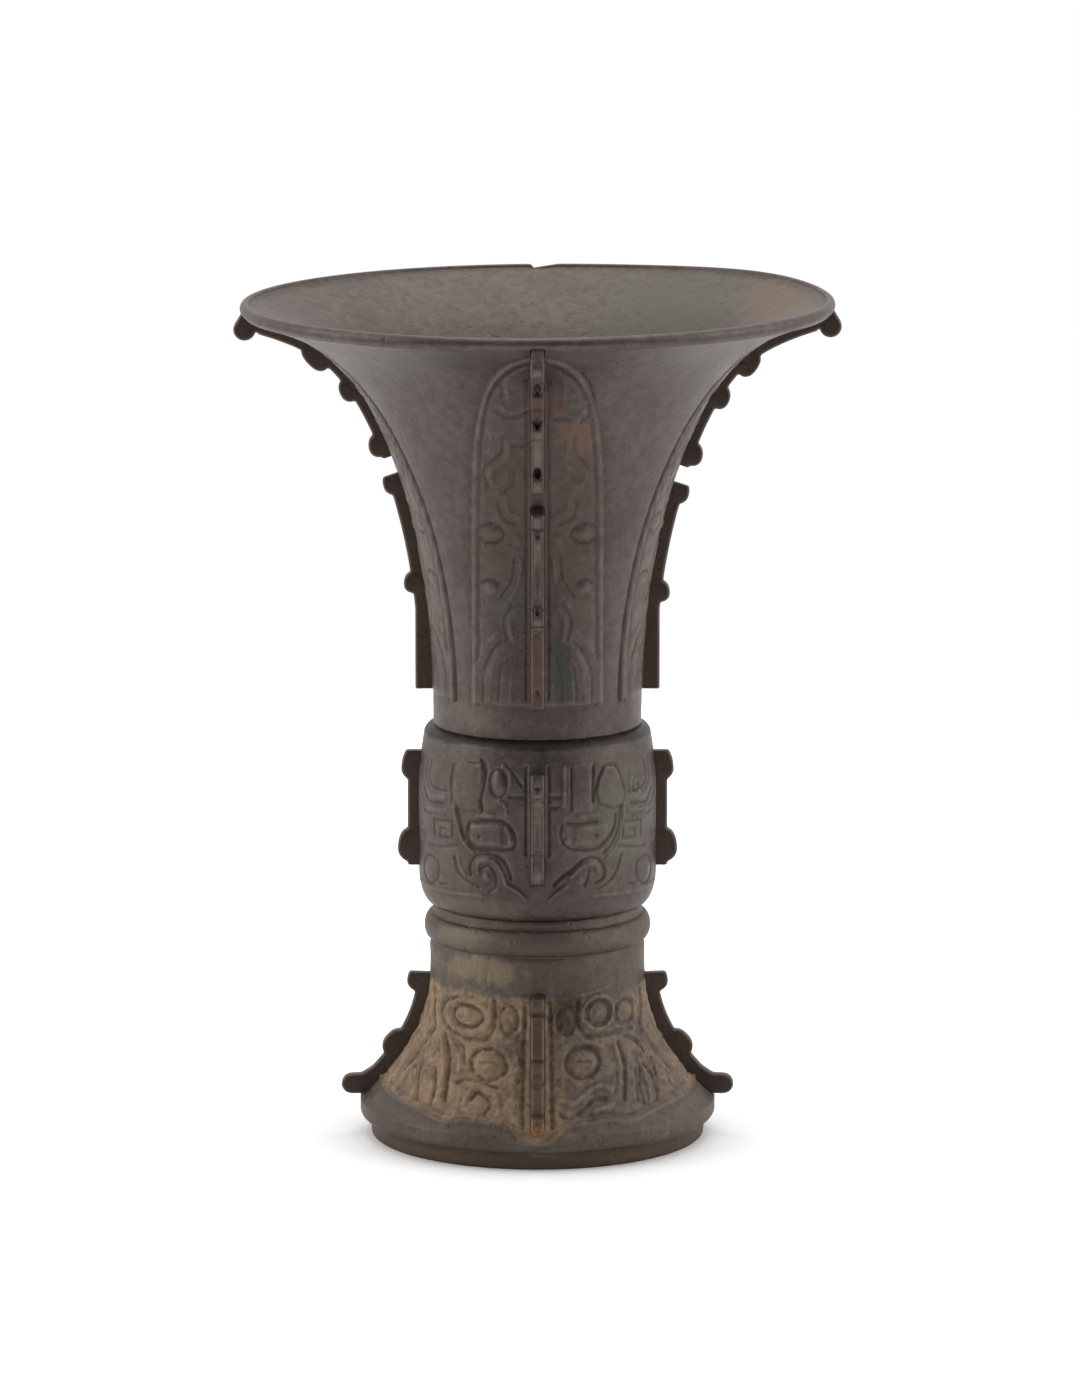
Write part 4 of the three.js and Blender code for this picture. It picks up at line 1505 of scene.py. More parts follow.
    def stretches(self, slip: float) -> list[Stretch]:
        """Return the stretches of one flange, from the neck to the foot.

        Args:
            slip: How far the neck's hooks are set down.

        Returns:
            The four stretches.
        """
        p = self.profile
        tall = p.height - p.neck_base
        barrel = p.neck_base - p.barrel_base
        upper = self.hooks(p.neck_base, tall, slip, self.upper)
        lower = self.hooks(p.neck_base, tall, slip, self.lower)
        middle = self.hooks(p.barrel_base, barrel, 0.0, self.middle)
        foot = self.hooks(p.flare_base, p.band_base - p.flare_base, 0.0, self.foot)
        ends = [
            (upper[-1].level - 1.3 * upper[-1].radius, p.lip_base - 0.4),
            (self.lower_base, lower[0].level + 1.1 * lower[0].radius),
            (p.barrel_base + self.middle_margins[0] * barrel, p.neck_base - self.middle_margins[1] * barrel),
            (self.spike_level + 2.6, p.band_base - 1.6),
        ]
        return [
            Stretch(*ends[0], self.bands[0], upper, widening=self.knob_widening),
            Stretch(*ends[1], self.bands[1], lower, straight=self.lower_straight),
            Stretch(*ends[2], self.bands[2], middle),
            Stretch(*ends[3], self.bands[3], foot),
        ]

    def knob(self) -> list[Row]:
        """Return the knob under the lip, as places on its edge and on its root.

        Returns:
            Rows of radius and height on the edge, then on the root.
        """
        p = self.profile
        centre = (p.lip_radius - self.knob_inset, p.lip_base - self.knob_drop)
        edge = arc(centre, (self.knob_radius, self.knob_radius), -171, 36, 22)
        edge.append((p.lip_radius - 0.7, p.lip_base + 0.5))
        roots = np.linspace(p.lip_radius - 2.4, p.lip_radius - 1.0, len(edge))
        return [(r, z, root, p.lip_base + 0.8) for (r, z), root in zip(edge, roots)]

    def spike(self) -> list[Row]:
        """Return the spike at the foot's edge, as places on its edge and on its root.

        Returns:
            Rows of radius and height on the edge, then on the root.
        """
        radius = self.spike_height / 2
        inner = self.surface(self.spike_level) - self.root
        tip = (self.spike_reach - radius, self.spike_level)
        edge = [(inner + 1, self.spike_level - radius), *arc(tip, (radius, radius), -90, 90, 16)]
        edge.append((self.spike_reach - 2.0 * radius, self.spike_level + radius + 0.1))
        levels = np.linspace(self.spike_level - radius + 0.6, self.spike_level + radius, len(edge))
        return [(r, z, self.surface(level) - self.root, level) for (r, z), level in zip(edge, levels)]

    def rounded(self, rows: Array) -> Array:
        """Set an outline's points an equal way apart and round its corners.

        Args:
            rows: The outline's points.

        Returns:
            The new points.
        """
        fine = evenly(rows, int(travelled(rows)[-1] / self.step) + 1)
        window = np.hanning(2 * int(self.corner / self.step) + 3)[1:-1]
        half = len(window) // 2
        padded = np.pad(fine, ((half, half), (0, 0)), mode="edge")
        return np.stack([np.convolve(column, window / window.sum(), "valid") for column in padded.T], 1)

    def outline(self, stretch: Stretch) -> Array:
        """Return a stretch's outline, as rows of a place on the edge and a place on the root.

        Args:
            stretch: The stretch.

        Returns:
            The rows from its lower to its upper end.
        """
        p = self.profile
        rows = []
        for level in self.levels(stretch):
            radius = self.surface(level)
            outward, upward = self.normal(level)
            rise = self.rise(level, stretch)
            rows.append((radius + outward * rise, level + upward * rise,
                         radius - outward * self.root, level - upward * self.root))
        if stretch.widening:
            centre = np.array([p.lip_radius - self.knob_inset, p.lip_base - self.knob_drop])
            rows = [row for row in rows if np.hypot(*(np.array(row[:2]) - centre)) > self.knob_radius
                    or row[1] < p.lip_base - self.knob_reach]
            rows += self.knob()
        elif stretch.high < p.band_base:
            rows = self.spike() + [row for row in rows if row[0] < self.surface(self.spike_level) + 0.4]
        first, last = rows[0], rows[-1]
        start = (*first[2:], *first[2:])
        end = (*last[2:], *last[2:])
        return self.rounded(np.array([start, *rows, end]))

    def dents(self, level: Array, azimuth: float) -> Array:
        """Return how deep the front flange's face is pitted at some heights.

        Args:
            level: The heights.
            azimuth: Direction of the flange.

        Returns:
            The depths.
        """
        depth = np.zeros(level.shape)
        if azimuth == 0.0:
            for centre, half, deep in self.pits:
                depth += deep * bell(level, centre, half)
        return depth

    def light(self, level: Array, azimuth: float) -> Array:
        """Return how strongly painted highlights light the front flange's face at some heights.

        Args:
            level: The heights.
            azimuth: Direction of the flange.

        Returns:
            Shares from 0 to 1.
        """
        share = np.zeros(level.shape)
        if azimuth == 0.0:
            for centre, half in self.lit_blocks:
                share = np.maximum(share, 1.0 - smooth(np.abs(level - centre), half - 0.5, half + 0.5))
        return share

    def section(self, rows: Array, azimuth: float) -> tuple[Array, Array, Array, Array]:
        """Sweep the rounded section of a flange along its outline.

        Args:
            rows: Places on the edge and on the root.
            azimuth: Direction of the flange.

        Returns:
            Places, quads, how much painted shade each vertex gets and how much painted highlight.
        """
        edge, root = rows[:, :2], rows[:, 2:]
        along = np.gradient(edge, axis=0)
        outward = np.stack([along[:, 1], -along[:, 0]], 1)
        outward /= np.maximum(np.linalg.norm(outward, axis=1, keepdims=True), 1e-9)
        half = self.thickness / 2 - self.taper
        steps = [(self.thickness / 2, 1.0, 0.0)]
        for angle in ROUNDING:
            turn = math.radians(angle)
            steps.append((half - self.edge * (1 - math.cos(turn)), 0.0, self.edge * (1 - math.sin(turn))))
        steps += FACE_STEPS
        steps += [(-side, share, inset) for side, share, inset in reversed(steps[:-1])]
        pitted = self.dents(edge[:, 1], azimuth)[:, None]
        columns = []
        for side, share, inset in steps:
            sunk = -inset * pitted if inset < 0 else inset
            place = (edge - outward * sunk) * (1 - share) + root * share
            columns.append(np.column_stack([np.full(len(edge), side), place]))
        grid = np.stack(columns, 1)
        x = grid[..., 1] * math.sin(azimuth) + grid[..., 0] * math.cos(azimuth)
        y = -grid[..., 1] * math.cos(azimuth) + grid[..., 0] * math.sin(azimuth)
        level = self.profile.lifted(np.arctan2(x, -y), grid[..., 2])
        places = np.stack([x, y, level], 2).reshape(-1, 3) * self.scale
        count_rows, count = grid.shape[:2]
        row, column = np.arange(count_rows - 1)[:, None] * count, np.arange(count)[None, :]
        here, beside = row + column, row + (column + 1) % count
        quads = np.stack([here, here + count, beside + count, beside], 2).reshape(-1, 4)
        # Painted shade on the flat sides, and painted shadow in the middles of the front face's pits.
        flat = np.array([1.0 if abs(side) > half - 0.02 else 0.0 for side, _, _ in steps])
        # Painted highlights on the lighter stretches of the front face, kept out of the pits.
        lit_blocks = np.zeros((count_rows, count))
        dark = np.clip(pitted, 0.0, 1.0)
        lit_blocks[:, FACE_COLUMNS] = self.light(edge[:, 1], azimuth)[:, None] * (1.0 - dark)
        shade = np.repeat(flat[None, :], count_rows, axis=0)
        shade[:, PIT_COLUMNS] = np.maximum(shade[:, PIT_COLUMNS], dark)
        return places, quads, shade.ravel(), lit_blocks.ravel()

    def build(self) -> Piece:
        """Build all the flanges as one mesh.

        Returns:
            The piece, with its shade attribute of painted shade and its wear_and_highlight attribute of
            painted highlights.
        """
        places, faces, shades, lights = [], [], [], []
        start = 0
        for i, slip in enumerate(self.slips):
            azimuth = i * math.pi / 2
            for outline in [self.outline(stretch) for stretch in self.stretches(slip)]:
                points, quads, shade, lit_blocks = self.section(outline, azimuth)
                count = len(points) // len(outline)
                ends = [tuple(start + k for k in range(count)),
                        tuple(start + len(points) - 1 - k for k in range(count))]
                places.append(points)
                faces += (quads + start).tolist() + ends
                shades.append(shade)
                lights.append(lit_blocks)
                start += len(points)
        piece = shaped(self.name, np.vstack(places), faces)
        store(piece, "shade", np.concatenate(shades))
        store(piece, "wear_and_highlight", np.concatenate(lights))
        piece.data.set_sharp_from_angle(angle=math.radians(60))
        return piece


class Wiring:
    """A small helper that places and joins shader nodes in one tree."""

    def __init__(self, tree: Tree) -> None:
        """Take the tree and clear it."""
        self.tree = tree
        self.tree.nodes.clear()

    def add(self, kind: str, inputs: dict | None = None, **settings: object) -> Node:
        """Place a node.

        Args:
            kind: The node's type.
            inputs: Values or sockets for its inputs, by name or number.
            settings: Its other settings.

        Returns:
            The node.
        """
        node = self.tree.nodes.new(kind)
        for name, value in settings.items():
            setattr(node, name, value)
        for key, value in (inputs or {}).items():
            self.feed(node.inputs[key], value)
        return node

    def feed(self, socket: Socket, value: object) -> None:
        """Join a socket to an output, or set its value.

        Args:
            socket: The socket.
            value: An output, a number or a colour.
        """
        if isinstance(value, Socket):
            self.tree.links.new(value, socket)
        elif isinstance(value, tuple) and len(value) == 3 and socket.type == "RGBA":
            socket.default_value = (*value, 1.0)
        else:
            socket.default_value = value

    def maths(self, operation: str, first: object, second: object) -> Socket:
        """Work out one sum of two values."""
        return self.add("ShaderNodeMath", {0: first, 1: second}, operation=operation).outputs[0]

    def times(self, first: object, second: object) -> Socket:
        """Multiply two values."""
        return self.maths("MULTIPLY", first, second)

    def plus(self, first: object, second: object) -> Socket:
        """Add two values."""
        return self.maths("ADD", first, second)

    def spread(self, value: object, low: float, high: float, start: float = 0.0, end: float = 1.0) -> Socket:
        """Map a range of values smoothly on to another.

        Args:
            value: The value.
            low: Value that gives start.
            high: Value that gives end.
            start: Result at the low end.
            end: Result at the high end.

        Returns:
            The result.
        """
        inputs = {"Value": value, "From Min": low, "From Max": high, "To Min": start, "To Max": end}
        node = self.add("ShaderNodeMapRange", inputs, interpolation_type="SMOOTHSTEP")
        return node.outputs["Result"]

    def mix(self, share: object, first: object, second: object) -> Socket:
        """Mix two colours.

        Args:
            share: Share of the second colour.
            first: First colour.
            second: Second colour.

        Returns:
            The mixed colour.
        """
        node = self.add("ShaderNodeMix", data_type="RGBA")
        self.feed(node.inputs[0], share)
        self.feed(node.inputs[6], first)
        self.feed(node.inputs[7], second)
        return node.outputs[2]

    def fact(self, name: str) -> Socket:
        """Read one of a piece's stored numbers."""
        return self.add("ShaderNodeAttribute", attribute_name=name).outputs["Fac"]

    def noise(self, vector: object, scale: object, detail: float, rough: float) -> Socket:
        """Make a noise value."""
        inputs = {"Vector": vector, "Scale": scale, "Detail": detail, "Roughness": rough}
        return self.add("ShaderNodeTexNoise", inputs).outputs[0]


NUMBER = "NodeSocketFloat"
VECTOR = "NodeSocketVector"


class Effects:
    """The shared effects, each a node group that is built once."""

    def __init__(self) -> None:
        """Build the groups."""
        self.mottle = self._mottle()
        self.stain = self._stain()
        self.crust = self._crust()
        self.surface = self._surface()

    def _group(self, name: str, inputs: dict[str, str], outputs: dict[str, str]) -> tuple[Wiring, Node, Node]:
        """Start a node group with named sockets.

        Args:
            name: The group's name.
            inputs: Name and kind of its inputs.
            outputs: Name and kind of its outputs.

        Returns:
            The wiring, and the nodes that hold the inputs and the outputs.
        """
        tree = bpy.data.node_groups.new(name, "ShaderNodeTree")
        for label, kind in inputs.items():
            tree.interface.new_socket(label, in_out="INPUT", socket_type=kind)
        for label, kind in outputs.items():
            tree.interface.new_socket(label, in_out="OUTPUT", socket_type=kind)
        wiring = Wiring(tree)
        return wiring, wiring.add("NodeGroupInput"), wiring.add("NodeGroupOutput")

    def _mottle(self) -> Tree:
        """Build the uneven patina: broad clouds and fine flecks.

        Returns:
            The node group's tree.
        """
        inputs = {"Vector": VECTOR, "Scale": NUMBER}
        wiring, source, target = self._group("patina_mottle", inputs, {"Clouds": NUMBER, "Flecks": NUMBER})
        vector, scale = source.outputs["Vector"], source.outputs["Scale"]
        broad = wiring.noise(vector, scale, 5.0, 0.6)
        fine = wiring.noise(vector, wiring.times(scale, 9.0), 6.0, 0.7)
        wiring.feed(target.inputs["Clouds"], wiring.spread(broad, 0.34, 0.68))
        wiring.feed(target.inputs["Flecks"], wiring.spread(fine, 0.36, 0.66))
        return wiring.tree

    def _stain(self) -> Tree:
        """Build a stain with a ragged edge about a place.

        Returns:
            The node group's tree.
        """
        inputs = {"Vector": VECTOR, "Centre": VECTOR, "Stretch": VECTOR}
        wiring, source, target = self._group("stain_patch", inputs, {"Mask": NUMBER})
        kind = "ShaderNodeVectorMath"
        ends = {0: source.outputs["Vector"], 1: source.outputs["Centre"]}
        gap = wiring.add(kind, ends, operation="SUBTRACT")
        share = wiring.add(kind, {0: gap.outputs[0], 1: source.outputs["Stretch"]}, operation="DIVIDE")
        length = wiring.add(kind, {0: share.outputs[0]}, operation="LENGTH")
        ragged = wiring.noise(source.outputs["Vector"], 210.0, 5.0, 0.65)
        reach = wiring.plus(length.outputs["Value"], wiring.spread(ragged, 0.2, 0.8, -0.45, 0.45))
        wiring.feed(target.inputs["Mask"], wiring.spread(reach, 0.45, 1.15, 1.0, 0.0))
        return wiring.tree

    def _crust(self) -> Tree:
        """Build the earthy crust that clings to low places.

        Returns:
            The node group's tree.
        """
        inputs = {"Vector": VECTOR, "Cavity": NUMBER, "Amount": NUMBER}
        wiring, source, target = self._group("earth_crust", inputs, {"Mask": NUMBER})
        grains = wiring.noise(source.outputs["Vector"], 420.0, 7.0, 0.7)
        patches = wiring.noise(source.outputs["Vector"], 70.0, 4.0, 0.6)
        base = wiring.times(grains, 0.55)
        base = wiring.plus(base, wiring.times(patches, 0.6))
        base = wiring.plus(base, wiring.times(source.outputs["Cavity"], 0.12))
        base = wiring.plus(base, source.outputs["Amount"])
        wiring.feed(target.inputs["Mask"], wiring.spread(base, 0.86, 1.22))
        return wiring.tree

    def _surface(self) -> Tree:
        """Build the fine cast surface: grain, pits and soft dents.

        Returns:
            The node group's tree.
        """
        inputs = {"Vector": VECTOR, "Grain": NUMBER, "Pitting": NUMBER}
        wiring, source, target = self._group("cast_surface", inputs, {"Normal": VECTOR})
        vector = source.outputs["Vector"]
        grain = wiring.times(wiring.noise(vector, 900.0, 5.0, 0.6), source.outputs["Grain"])
        dents = wiring.noise(vector, 160.0, 3.0, 0.5)
        pits = wiring.spread(wiring.noise(vector, 520.0, 2.0, 0.4), 0.60, 0.74, 0.0, -1.0)
        pits = wiring.times(pits, source.outputs["Pitting"])
        total = wiring.plus(wiring.plus(grain, dents), pits)
        bump = wiring.add("ShaderNodeBump", {"Strength": 0.35, "Distance": 0.0006, "Height": total})
        wiring.feed(target.inputs["Normal"], bump.outputs["Normal"])
        return wiring.tree


@dataclass(frozen=True)
class Stain:
    """One stain on the patina.

    Attributes:
        centre: Its place in metres.
        reach: Its half sizes in metres.
        colour: Its colour.
        strength: How much it covers.
    """

    centre: Triple
    reach: Triple
    colour: Colour
    strength: float = 0.7


@dataclass(frozen=True)
class BronzeFinish:
    """A patinated bronze finish.

    Attributes:
        name: The material's name.
        dark: Colour of the darker patina.
        light: Colour of the lighter patina.
        dirt: Colour in the low places.
        worn_and_lit: Colour on the rubbed edges, and of the painted highlights on the front flange's face.
        earth: Colour of the earthy crust.
        crust: How much crust there is, where more than about 0 shows.
        metal: How metallic the clean surface is.
        roughness: Roughness of the clean surface.
        grain: Strength of the fine grain.
        pitting: Strength of the pits.
        dirt_share: How strongly the low places darken.
        wear_and_highlight_share: How strongly the rubbed places and the painted highlights lighten.
        fleck_share: How strongly the fine flecks darken.
        cloud_scale: Scale of the patina's clouds.
        cloud_rough: How much rougher the light clouds are.
        crust_gain: How strongly the mapped crust counts.
        crust_rough: How much rougher the crust is.
        shade: Colour of the painted shade on a flange's flat sides and of the painted shadow in the front
            flange's pits.
        stains: Local stains.
    """

    name: str
    dark: Colour
    light: Colour
    dirt: Colour = (0.022, 0.016, 0.013)
    worn_and_lit: Colour = (0.24, 0.20, 0.175)
    earth: Colour = (0.215, 0.165, 0.115)
    crust: float = -0.35
    metal: float = 0.78
    roughness: float = 0.46
    grain: float = 0.5
    pitting: float = 0.5
    dirt_share: float = 0.7
    wear_and_highlight_share: float = 0.3
    fleck_share: float = 0.35
    cloud_scale: float = 34.0
    cloud_rough: float = 0.1
    crust_gain: float = 0.66
    crust_rough: float = 0.35
    shade: Colour | None = None
    stains: tuple[Stain, ...] = ()

    def material(self, effects: Effects) -> Material:
        """Make the material.

        Args:
            effects: The shared node groups.

        Returns:
            The material.
        """
        material = bpy.data.materials.new(self.name)
        material.use_nodes = True
        wiring = Wiring(material.node_tree)
        vector = wiring.add("ShaderNodeTexCoord").outputs["Object"]
        cavity, wear_and_highlight, here = wiring.fact("cavity"), wiring.fact("wear_and_highlight"), wiring.fact("crust")
        inputs = {"Vector": vector, "Scale": self.cloud_scale}
        mottle = wiring.add("ShaderNodeGroup", inputs, node_tree=effects.mottle)
        clouds, flecks = mottle.outputs["Clouds"], mottle.outputs["Flecks"]
        colour = wiring.mix(clouds, self.dark, self.light)
        # Rubbed relief edges are worn lighter; on the front flange's face the same mix paints highlights.
        colour = wiring.mix(wiring.times(wear_and_highlight, self.wear_and_highlight_share), colour, self.worn_and_lit)
        amount = wiring.plus(self.crust, wiring.times(here, self.crust_gain))
        inputs = {"Vector": vector, "Cavity": cavity, "Amount": amount}
        crust = wiring.add("ShaderNodeGroup", inputs, node_tree=effects.crust).outputs["Mask"]
        colour = wiring.mix(crust, colour, self.earth)
        colour = wiring.mix(wiring.times(flecks, self.fleck_share), colour, self.dirt)
        for stain in self.stains:
            inputs = {"Vector": vector, "Centre": stain.centre, "Stretch": stain.reach}
            patch = wiring.add("ShaderNodeGroup", inputs, node_tree=effects.stain).outputs["Mask"]
            colour = wiring.mix(wiring.times(patch, stain.strength), colour, stain.colour)
        colour = wiring.mix(wiring.times(cavity, self.dirt_share), colour, self.dirt)
        # Painted shade on the flanges' flat sides and painted shadow in the front flange's pits.
        if self.shade is not None:
            colour = wiring.mix(wiring.fact("shade"), colour, self.shade)
        rough = wiring.plus(self.roughness, wiring.times(clouds, self.cloud_rough))
        rough = wiring.plus(rough, wiring.times(crust, self.crust_rough))
        metal = wiring.maths("SUBTRACT", self.metal, wiring.times(crust, self.metal))
        inputs = {"Vector": vector, "Grain": self.grain, "Pitting": self.pitting}
        cast = wiring.add("ShaderNodeGroup", inputs, node_tree=effects.surface)
        shader = wiring.add("ShaderNodeBsdfPrincipled", {
            "Base Color": colour, "Roughness": rough, "Metallic": metal, "Normal": cast.outputs["Normal"]})
        wiring.add("ShaderNodeOutputMaterial", {"Surface": shader.outputs["BSDF"]})
        return material


@dataclass(frozen=True)
class Studio:
    """The plain floor, the soft light and the camera.

    Attributes:
        focal_pixels: Focal length in pixels of the 1080 by 1399 frame.
        frame_height: Height of that frame in pixels.
        distance: Camera's distance from the point it looks at, in metres.
        pitch: How far it looks down, in radians.
        target: Height of the point it looks at.
        aside: How far the camera stands to the right.
        floor_radius: Radius of the floor.
        sensor: Height of the camera's sensor in millimetres.
        sky_light: Strength of the light from all round.
        front_dimming: How much weaker it is in front, over the range front_range of the direction.
        aim_height: Height at which the lamps aim.
        lamps: Name, place, size and power of each lamp.
    """

    focal_pixels: float = 7272.93
    frame_height: float = 1399.0
    distance: float = 2.15243
    pitch: float = 0.182384
    target: float = 0.13084
    aside: float = 0.00074
    floor_radius: float = 0.7
    sensor: float = 24.0
    sky_light: float = 1.15
    front_dimming: float = 1.05
    front_range: Point = (0.2, 0.9)
    aim_height: float = 0.13
    lamps: tuple[tuple[str, Triple, float, float], ...] = (
        ("lamp_left", (-1.7, -0.35, 0.75), 1.3, 15.0),
        ("lamp_right", (1.7, -0.35, 0.75), 1.3, 14.5),
        ("lamp_top", (0.0, 0.3, 2.1), 1.6, 22.0))

    def camera(self) -> Piece:
        """Place the camera and make it the scene's.

        Returns:
            The camera.
        """
        data = bpy.data.cameras.new("camera")
        data.sensor_fit = "VERTICAL"
        data.sensor_height = self.sensor
        data.lens = self.focal_pixels * self.sensor / self.frame_height
        data.clip_end = 50.0
        camera = bpy.data.objects.new("camera", data)
        bpy.context.scene.collection.objects.link(camera)
        back = self.distance * math.cos(self.pitch)
        camera.location = (self.aside, -back, self.target + self.distance * math.sin(self.pitch))
        camera.rotation_euler = (math.pi / 2 - self.pitch, 0.0, 0.0)
        bpy.context.scene.camera = camera
        return camera

    def floor(self) -> Piece:
        """Lay the pale floor.

        Returns:
            The floor.
        """
        turns = np.linspace(0.0, 2 * math.pi, 64, endpoint=False)
        edge = self.floor_radius * np.stack([np.cos(turns), np.sin(turns), 0.0 * turns], 1)
        floor = shaped("floor", edge, [tuple(range(len(turns)))])
        material = bpy.data.materials.new("pale_floor")
        material.use_nodes = True
        wiring = Wiring(material.node_tree)
        shader = wiring.add("ShaderNodeBsdfPrincipled", {"Base Color": (0.93, 0.93, 0.93), "Roughness": 0.9})
        wiring.add("ShaderNodeOutputMaterial", {"Surface": shader.outputs["BSDF"]})
        floor.data.materials.append(material)
        return floor

    def sky(self) -> None:
        """Surround the scene with soft light that is dimmer where the camera stands."""
        world = bpy.data.worlds.new("soft_studio")
        world.use_nodes = True
        wiring = Wiring(world.node_tree)
        direction = wiring.add("ShaderNodeTexCoord").outputs["Generated"]
        parts = wiring.add("ShaderNodeSeparateXYZ", {0: direction})
        front = wiring.spread(wiring.times(parts.outputs["Y"], -1.0), *self.front_range)
        dimmed = wiring.times(front, self.front_dimming)
        strength = wiring.maths("SUBTRACT", self.sky_light, dimmed)
        background = wiring.add("ShaderNodeBackground", {"Color": (1.0, 0.985, 0.965), "Strength": strength})
        plain = wiring.add("ShaderNodeBackground", {"Color": (1.0, 1.0, 1.0), "Strength": 1.0})
        path = wiring.add("ShaderNodeLightPath")
        mixed = wiring.add("ShaderNodeMixShader", {
            0: path.outputs["Is Camera Ray"], 1: background.outputs[0], 2: plain.outputs[0]})
        wiring.add("ShaderNodeOutputWorld", {"Surface": mixed.outputs[0]})
        bpy.context.scene.world = world

    def hang(self) -> None:
        """Hang a large soft lamp on each side and one above."""
        for name, place, size, power in self.lamps:
            data = bpy.data.lights.new(name, "AREA")
            data.shape = "SQUARE"
            data.size = size
            data.energy = power
            lamp = bpy.data.objects.new(name, data)
            lamp.location = place
            aim = Vector((0.0, 0.0, self.aim_height)) - Vector(place)
            lamp.rotation_euler = aim.to_track_quat("-Z", "Y").to_euler()
            lamp.visible_camera = False
            bpy.context.scene.collection.objects.link(lamp)

    def build(self) -> None:
        """Set up the whole studio."""
        self.camera()
        self.floor()
        self.sky()
        self.hang()
        bpy.context.scene.view_settings.view_transform = "Standard"


def on_front(across: float, level: float, radius: float) -> Triple:
    """Give the place in metres of a spot on the front, from its distance round and its height."""
    turn = across / radius
    return (radius * math.sin(turn) / 1000, -radius * math.cos(turn) / 1000, level / 1000)


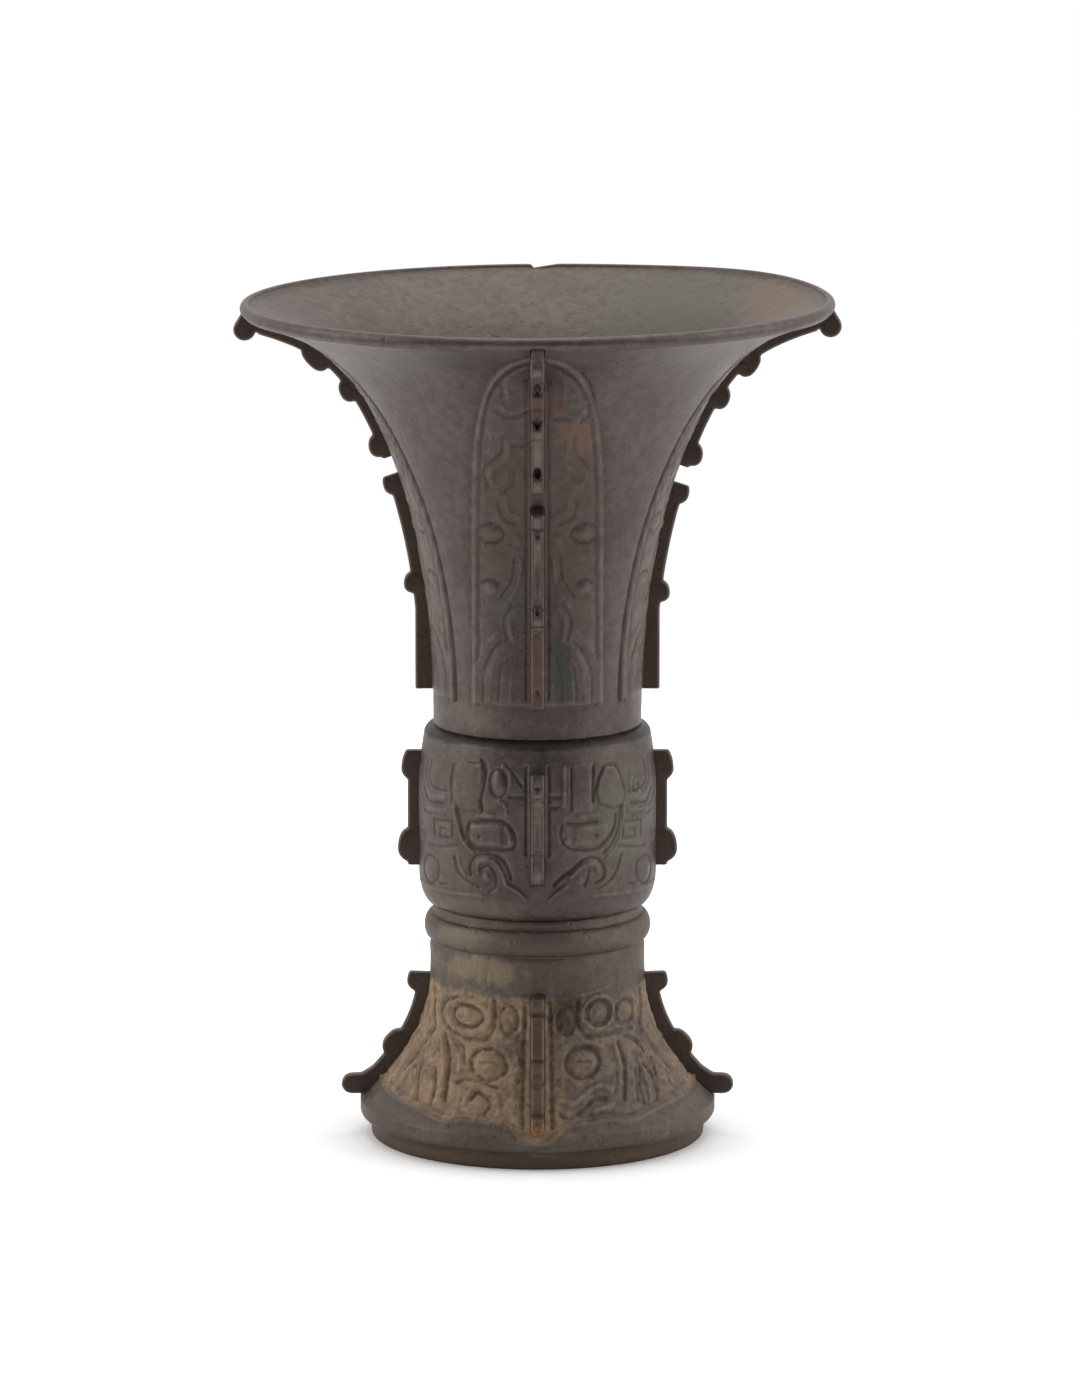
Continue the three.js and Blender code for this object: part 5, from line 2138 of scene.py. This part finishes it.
def finishes(effects: Effects) -> dict[str, Material]:
    """Make the finishes of the vase.

    Args:
        effects: The shared node groups.

    Returns:
        The materials by name.
    """
    # Painted shadow: a dark band on the top of the barrel's shoulder, just under the neck's crease.
    crease_shadow = Stain((0.0, 0.0, 0.1230), (0.2, 0.2, 0.0014), (0.016, 0.015, 0.010), 0.75)
    neck = BronzeFinish("neck_bronze", (0.072, 0.055, 0.050), (0.106, 0.086, 0.080), grain=0.15,
                        dirt_share=0.9, stains=(
        Stain(on_front(0, 188, 40), (0.022, 0.03, 0.064), (0.062, 0.044, 0.038), 0.6),
        # Painted highlight: the neck's left and right sides made lighter, where the side light falls on them.
        Stain((0.0, 0.0, 0.180), (0.2, 0.019, 0.062), (0.135, 0.113, 0.096), 0.6),
        Stain(on_front(12.0, 216, 48), (0.006, 0.02, 0.007), (0.130, 0.074, 0.046), 0.6),
        Stain(on_front(6.0, 226, 54), (0.004, 0.02, 0.004), (0.090, 0.045, 0.034), 0.6),
        # Painted reflected light: lighter under the front of the lip, where the flare faces down towards the
        # floor.
        Stain(on_front(0, 243.5, 78), (0.05, 0.03, 0.005), (0.130, 0.105, 0.092), 0.5),
        Stain(on_front(7.5, 144, 31), (0.004, 0.02, 0.011), (0.036, 0.044, 0.036), 0.8),
        Stain(on_front(-8, 166, 33), (0.005, 0.02, 0.006), (0.060, 0.066, 0.054), 0.5),
        Stain(on_front(-20, 131, 31), (0.008, 0.02, 0.004), (0.105, 0.090, 0.062), 0.5),
    ))
    mouth = BronzeFinish("mouth_bronze", (0.082, 0.065, 0.053), (0.122, 0.102, 0.086), crust=-0.30, metal=0.6,
                         roughness=0.55, grain=0.3, pitting=0.9, stains=(
        Stain((0.038, 0.045, 0.237), (0.03, 0.03, 0.02), (0.082, 0.083, 0.069), 0.6),
        Stain((0.072, 0.02, 0.245), (0.012, 0.03, 0.02), (0.135, 0.090, 0.058), 0.5),
        Stain((-0.072, 0.02, 0.245), (0.012, 0.03, 0.02), (0.078, 0.056, 0.058), 0.4),
    ))
    barrel = BronzeFinish("barrel_bronze", (0.062, 0.048, 0.042), (0.100, 0.082, 0.073), grain=0.3,
                          dirt_share=0.75, stains=(
        Stain(on_front(30, 101, 35), (0.010, 0.03, 0.014), (0.088, 0.088, 0.074), 0.6),
        Stain(on_front(-20, 73, 32), (0.014, 0.03, 0.005), (0.125, 0.100, 0.070), 0.5),
        crease_shadow,
    ))
    foot = BronzeFinish("foot_bronze", (0.080, 0.062, 0.052), (0.118, 0.096, 0.082), crust=-0.12,
                        earth=(0.250, 0.170, 0.102), roughness=0.55, grain=0.8, pitting=1.0,
                        dirt=(0.028, 0.017, 0.011), dirt_share=0.8, stains=(
        Stain(on_front(-17, 55, 32), (0.014, 0.03, 0.0045), (0.190, 0.148, 0.094), 0.7),
        Stain(on_front(-24, 64, 33), (0.010, 0.02, 0.004), (0.150, 0.122, 0.088), 0.6),
        Stain(on_front(0, 10.5, 52), (0.010, 0.02, 0.0024), (0.190, 0.132, 0.080), 0.7),
        Stain(on_front(3, 63, 33), (0.017, 0.02, 0.006), (0.084, 0.063, 0.056), 0.8),
        # Painted shadow: a dark patch on the foot just right of the front flange.
        Stain(on_front(9, 42, 34), (0.006, 0.02, 0.006), (0.040, 0.028, 0.021), 0.8),
        Stain((0.0, 0.0, 0.0022), (0.2, 0.2, 0.0026), (0.078, 0.050, 0.036), 0.75),
        Stain((0.0500, 0.0, 0.0165), (0.005, 0.012, 0.003), (0.230, 0.105, 0.045), 0.7),
        Stain((-0.0500, 0.0, 0.0165), (0.005, 0.012, 0.003), (0.230, 0.140, 0.060), 0.7),
    ))
    hollow = BronzeFinish("hollow_bronze", (0.07, 0.056, 0.048), (0.11, 0.09, 0.078), crust=-0.05,
                          roughness=0.6)
    # Its worn colour paints highlights on the front flange's face, and its shade colour paints shade on the
    # flat sides and in the pits.
    flange = BronzeFinish("flange_bronze", (0.068, 0.052, 0.046), (0.098, 0.078, 0.070), grain=0.3,
                          wear_and_highlight_share=0.4, worn_and_lit=(0.20, 0.165, 0.15), shade=(0.048, 0.032, 0.026), stains=(
        Stain((0.0, -0.045, 0.030), (0.02, 0.025, 0.018), (0.098, 0.062, 0.040), 0.8),
        Stain((0.0, -0.056, 0.0145), (0.02, 0.006, 0.0028), (0.200, 0.096, 0.040), 0.7),
        Stain((0.0, -0.037, 0.148), (0.02, 0.02, 0.012), (0.120, 0.066, 0.050), 0.6),
        Stain((0.0, -0.060, 0.226), (0.02, 0.02, 0.003), (0.080, 0.036, 0.028), 0.6),
    ))
    return {finish.name: finish.material(effects) for finish in (neck, mouth, barrel, foot, hollow, flange)}


def dressed(piece: Piece, *materials: Material) -> Piece:
    """Give a piece its finishes and fix it to the frame.

    Args:
        piece: The piece.
        materials: Its materials in the order of its faces' numbers.

    Returns:
        The same piece.
    """
    for material in materials:
        piece.data.materials.append(material)
    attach(piece, "root")
    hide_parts(NODE)
    log.info("%s: %d faces", piece.name, len(piece.data.polygons))
    return piece


def main() -> None:
    """Build the studio and every piece of the vase."""
    logging.basicConfig(level=logging.INFO, format="%(name)s %(message)s")
    Studio().build()
    low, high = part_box(NODE)
    scale = (high.z - low.z) / Profile().top
    looks = finishes(Effects())
    neck = Neck("vase_neck", scale, columns=384, seed=3)
    barrel = Barrel("vase_barrel", scale, columns=560, seed=5)
    foot = Foot("vase_foot", scale, columns=520, seed=8)
    flanges = Flanges("vase_flanges", scale)
    dressed(neck.build(), looks["neck_bronze"], looks["mouth_bronze"])
    dressed(barrel.build(), looks["barrel_bronze"], looks["mouth_bronze"])
    dressed(foot.build(), looks["foot_bronze"], looks["hollow_bronze"])
    dressed(flanges.build(), looks["flange_bronze"])


if __name__ == "__main__":
    main()
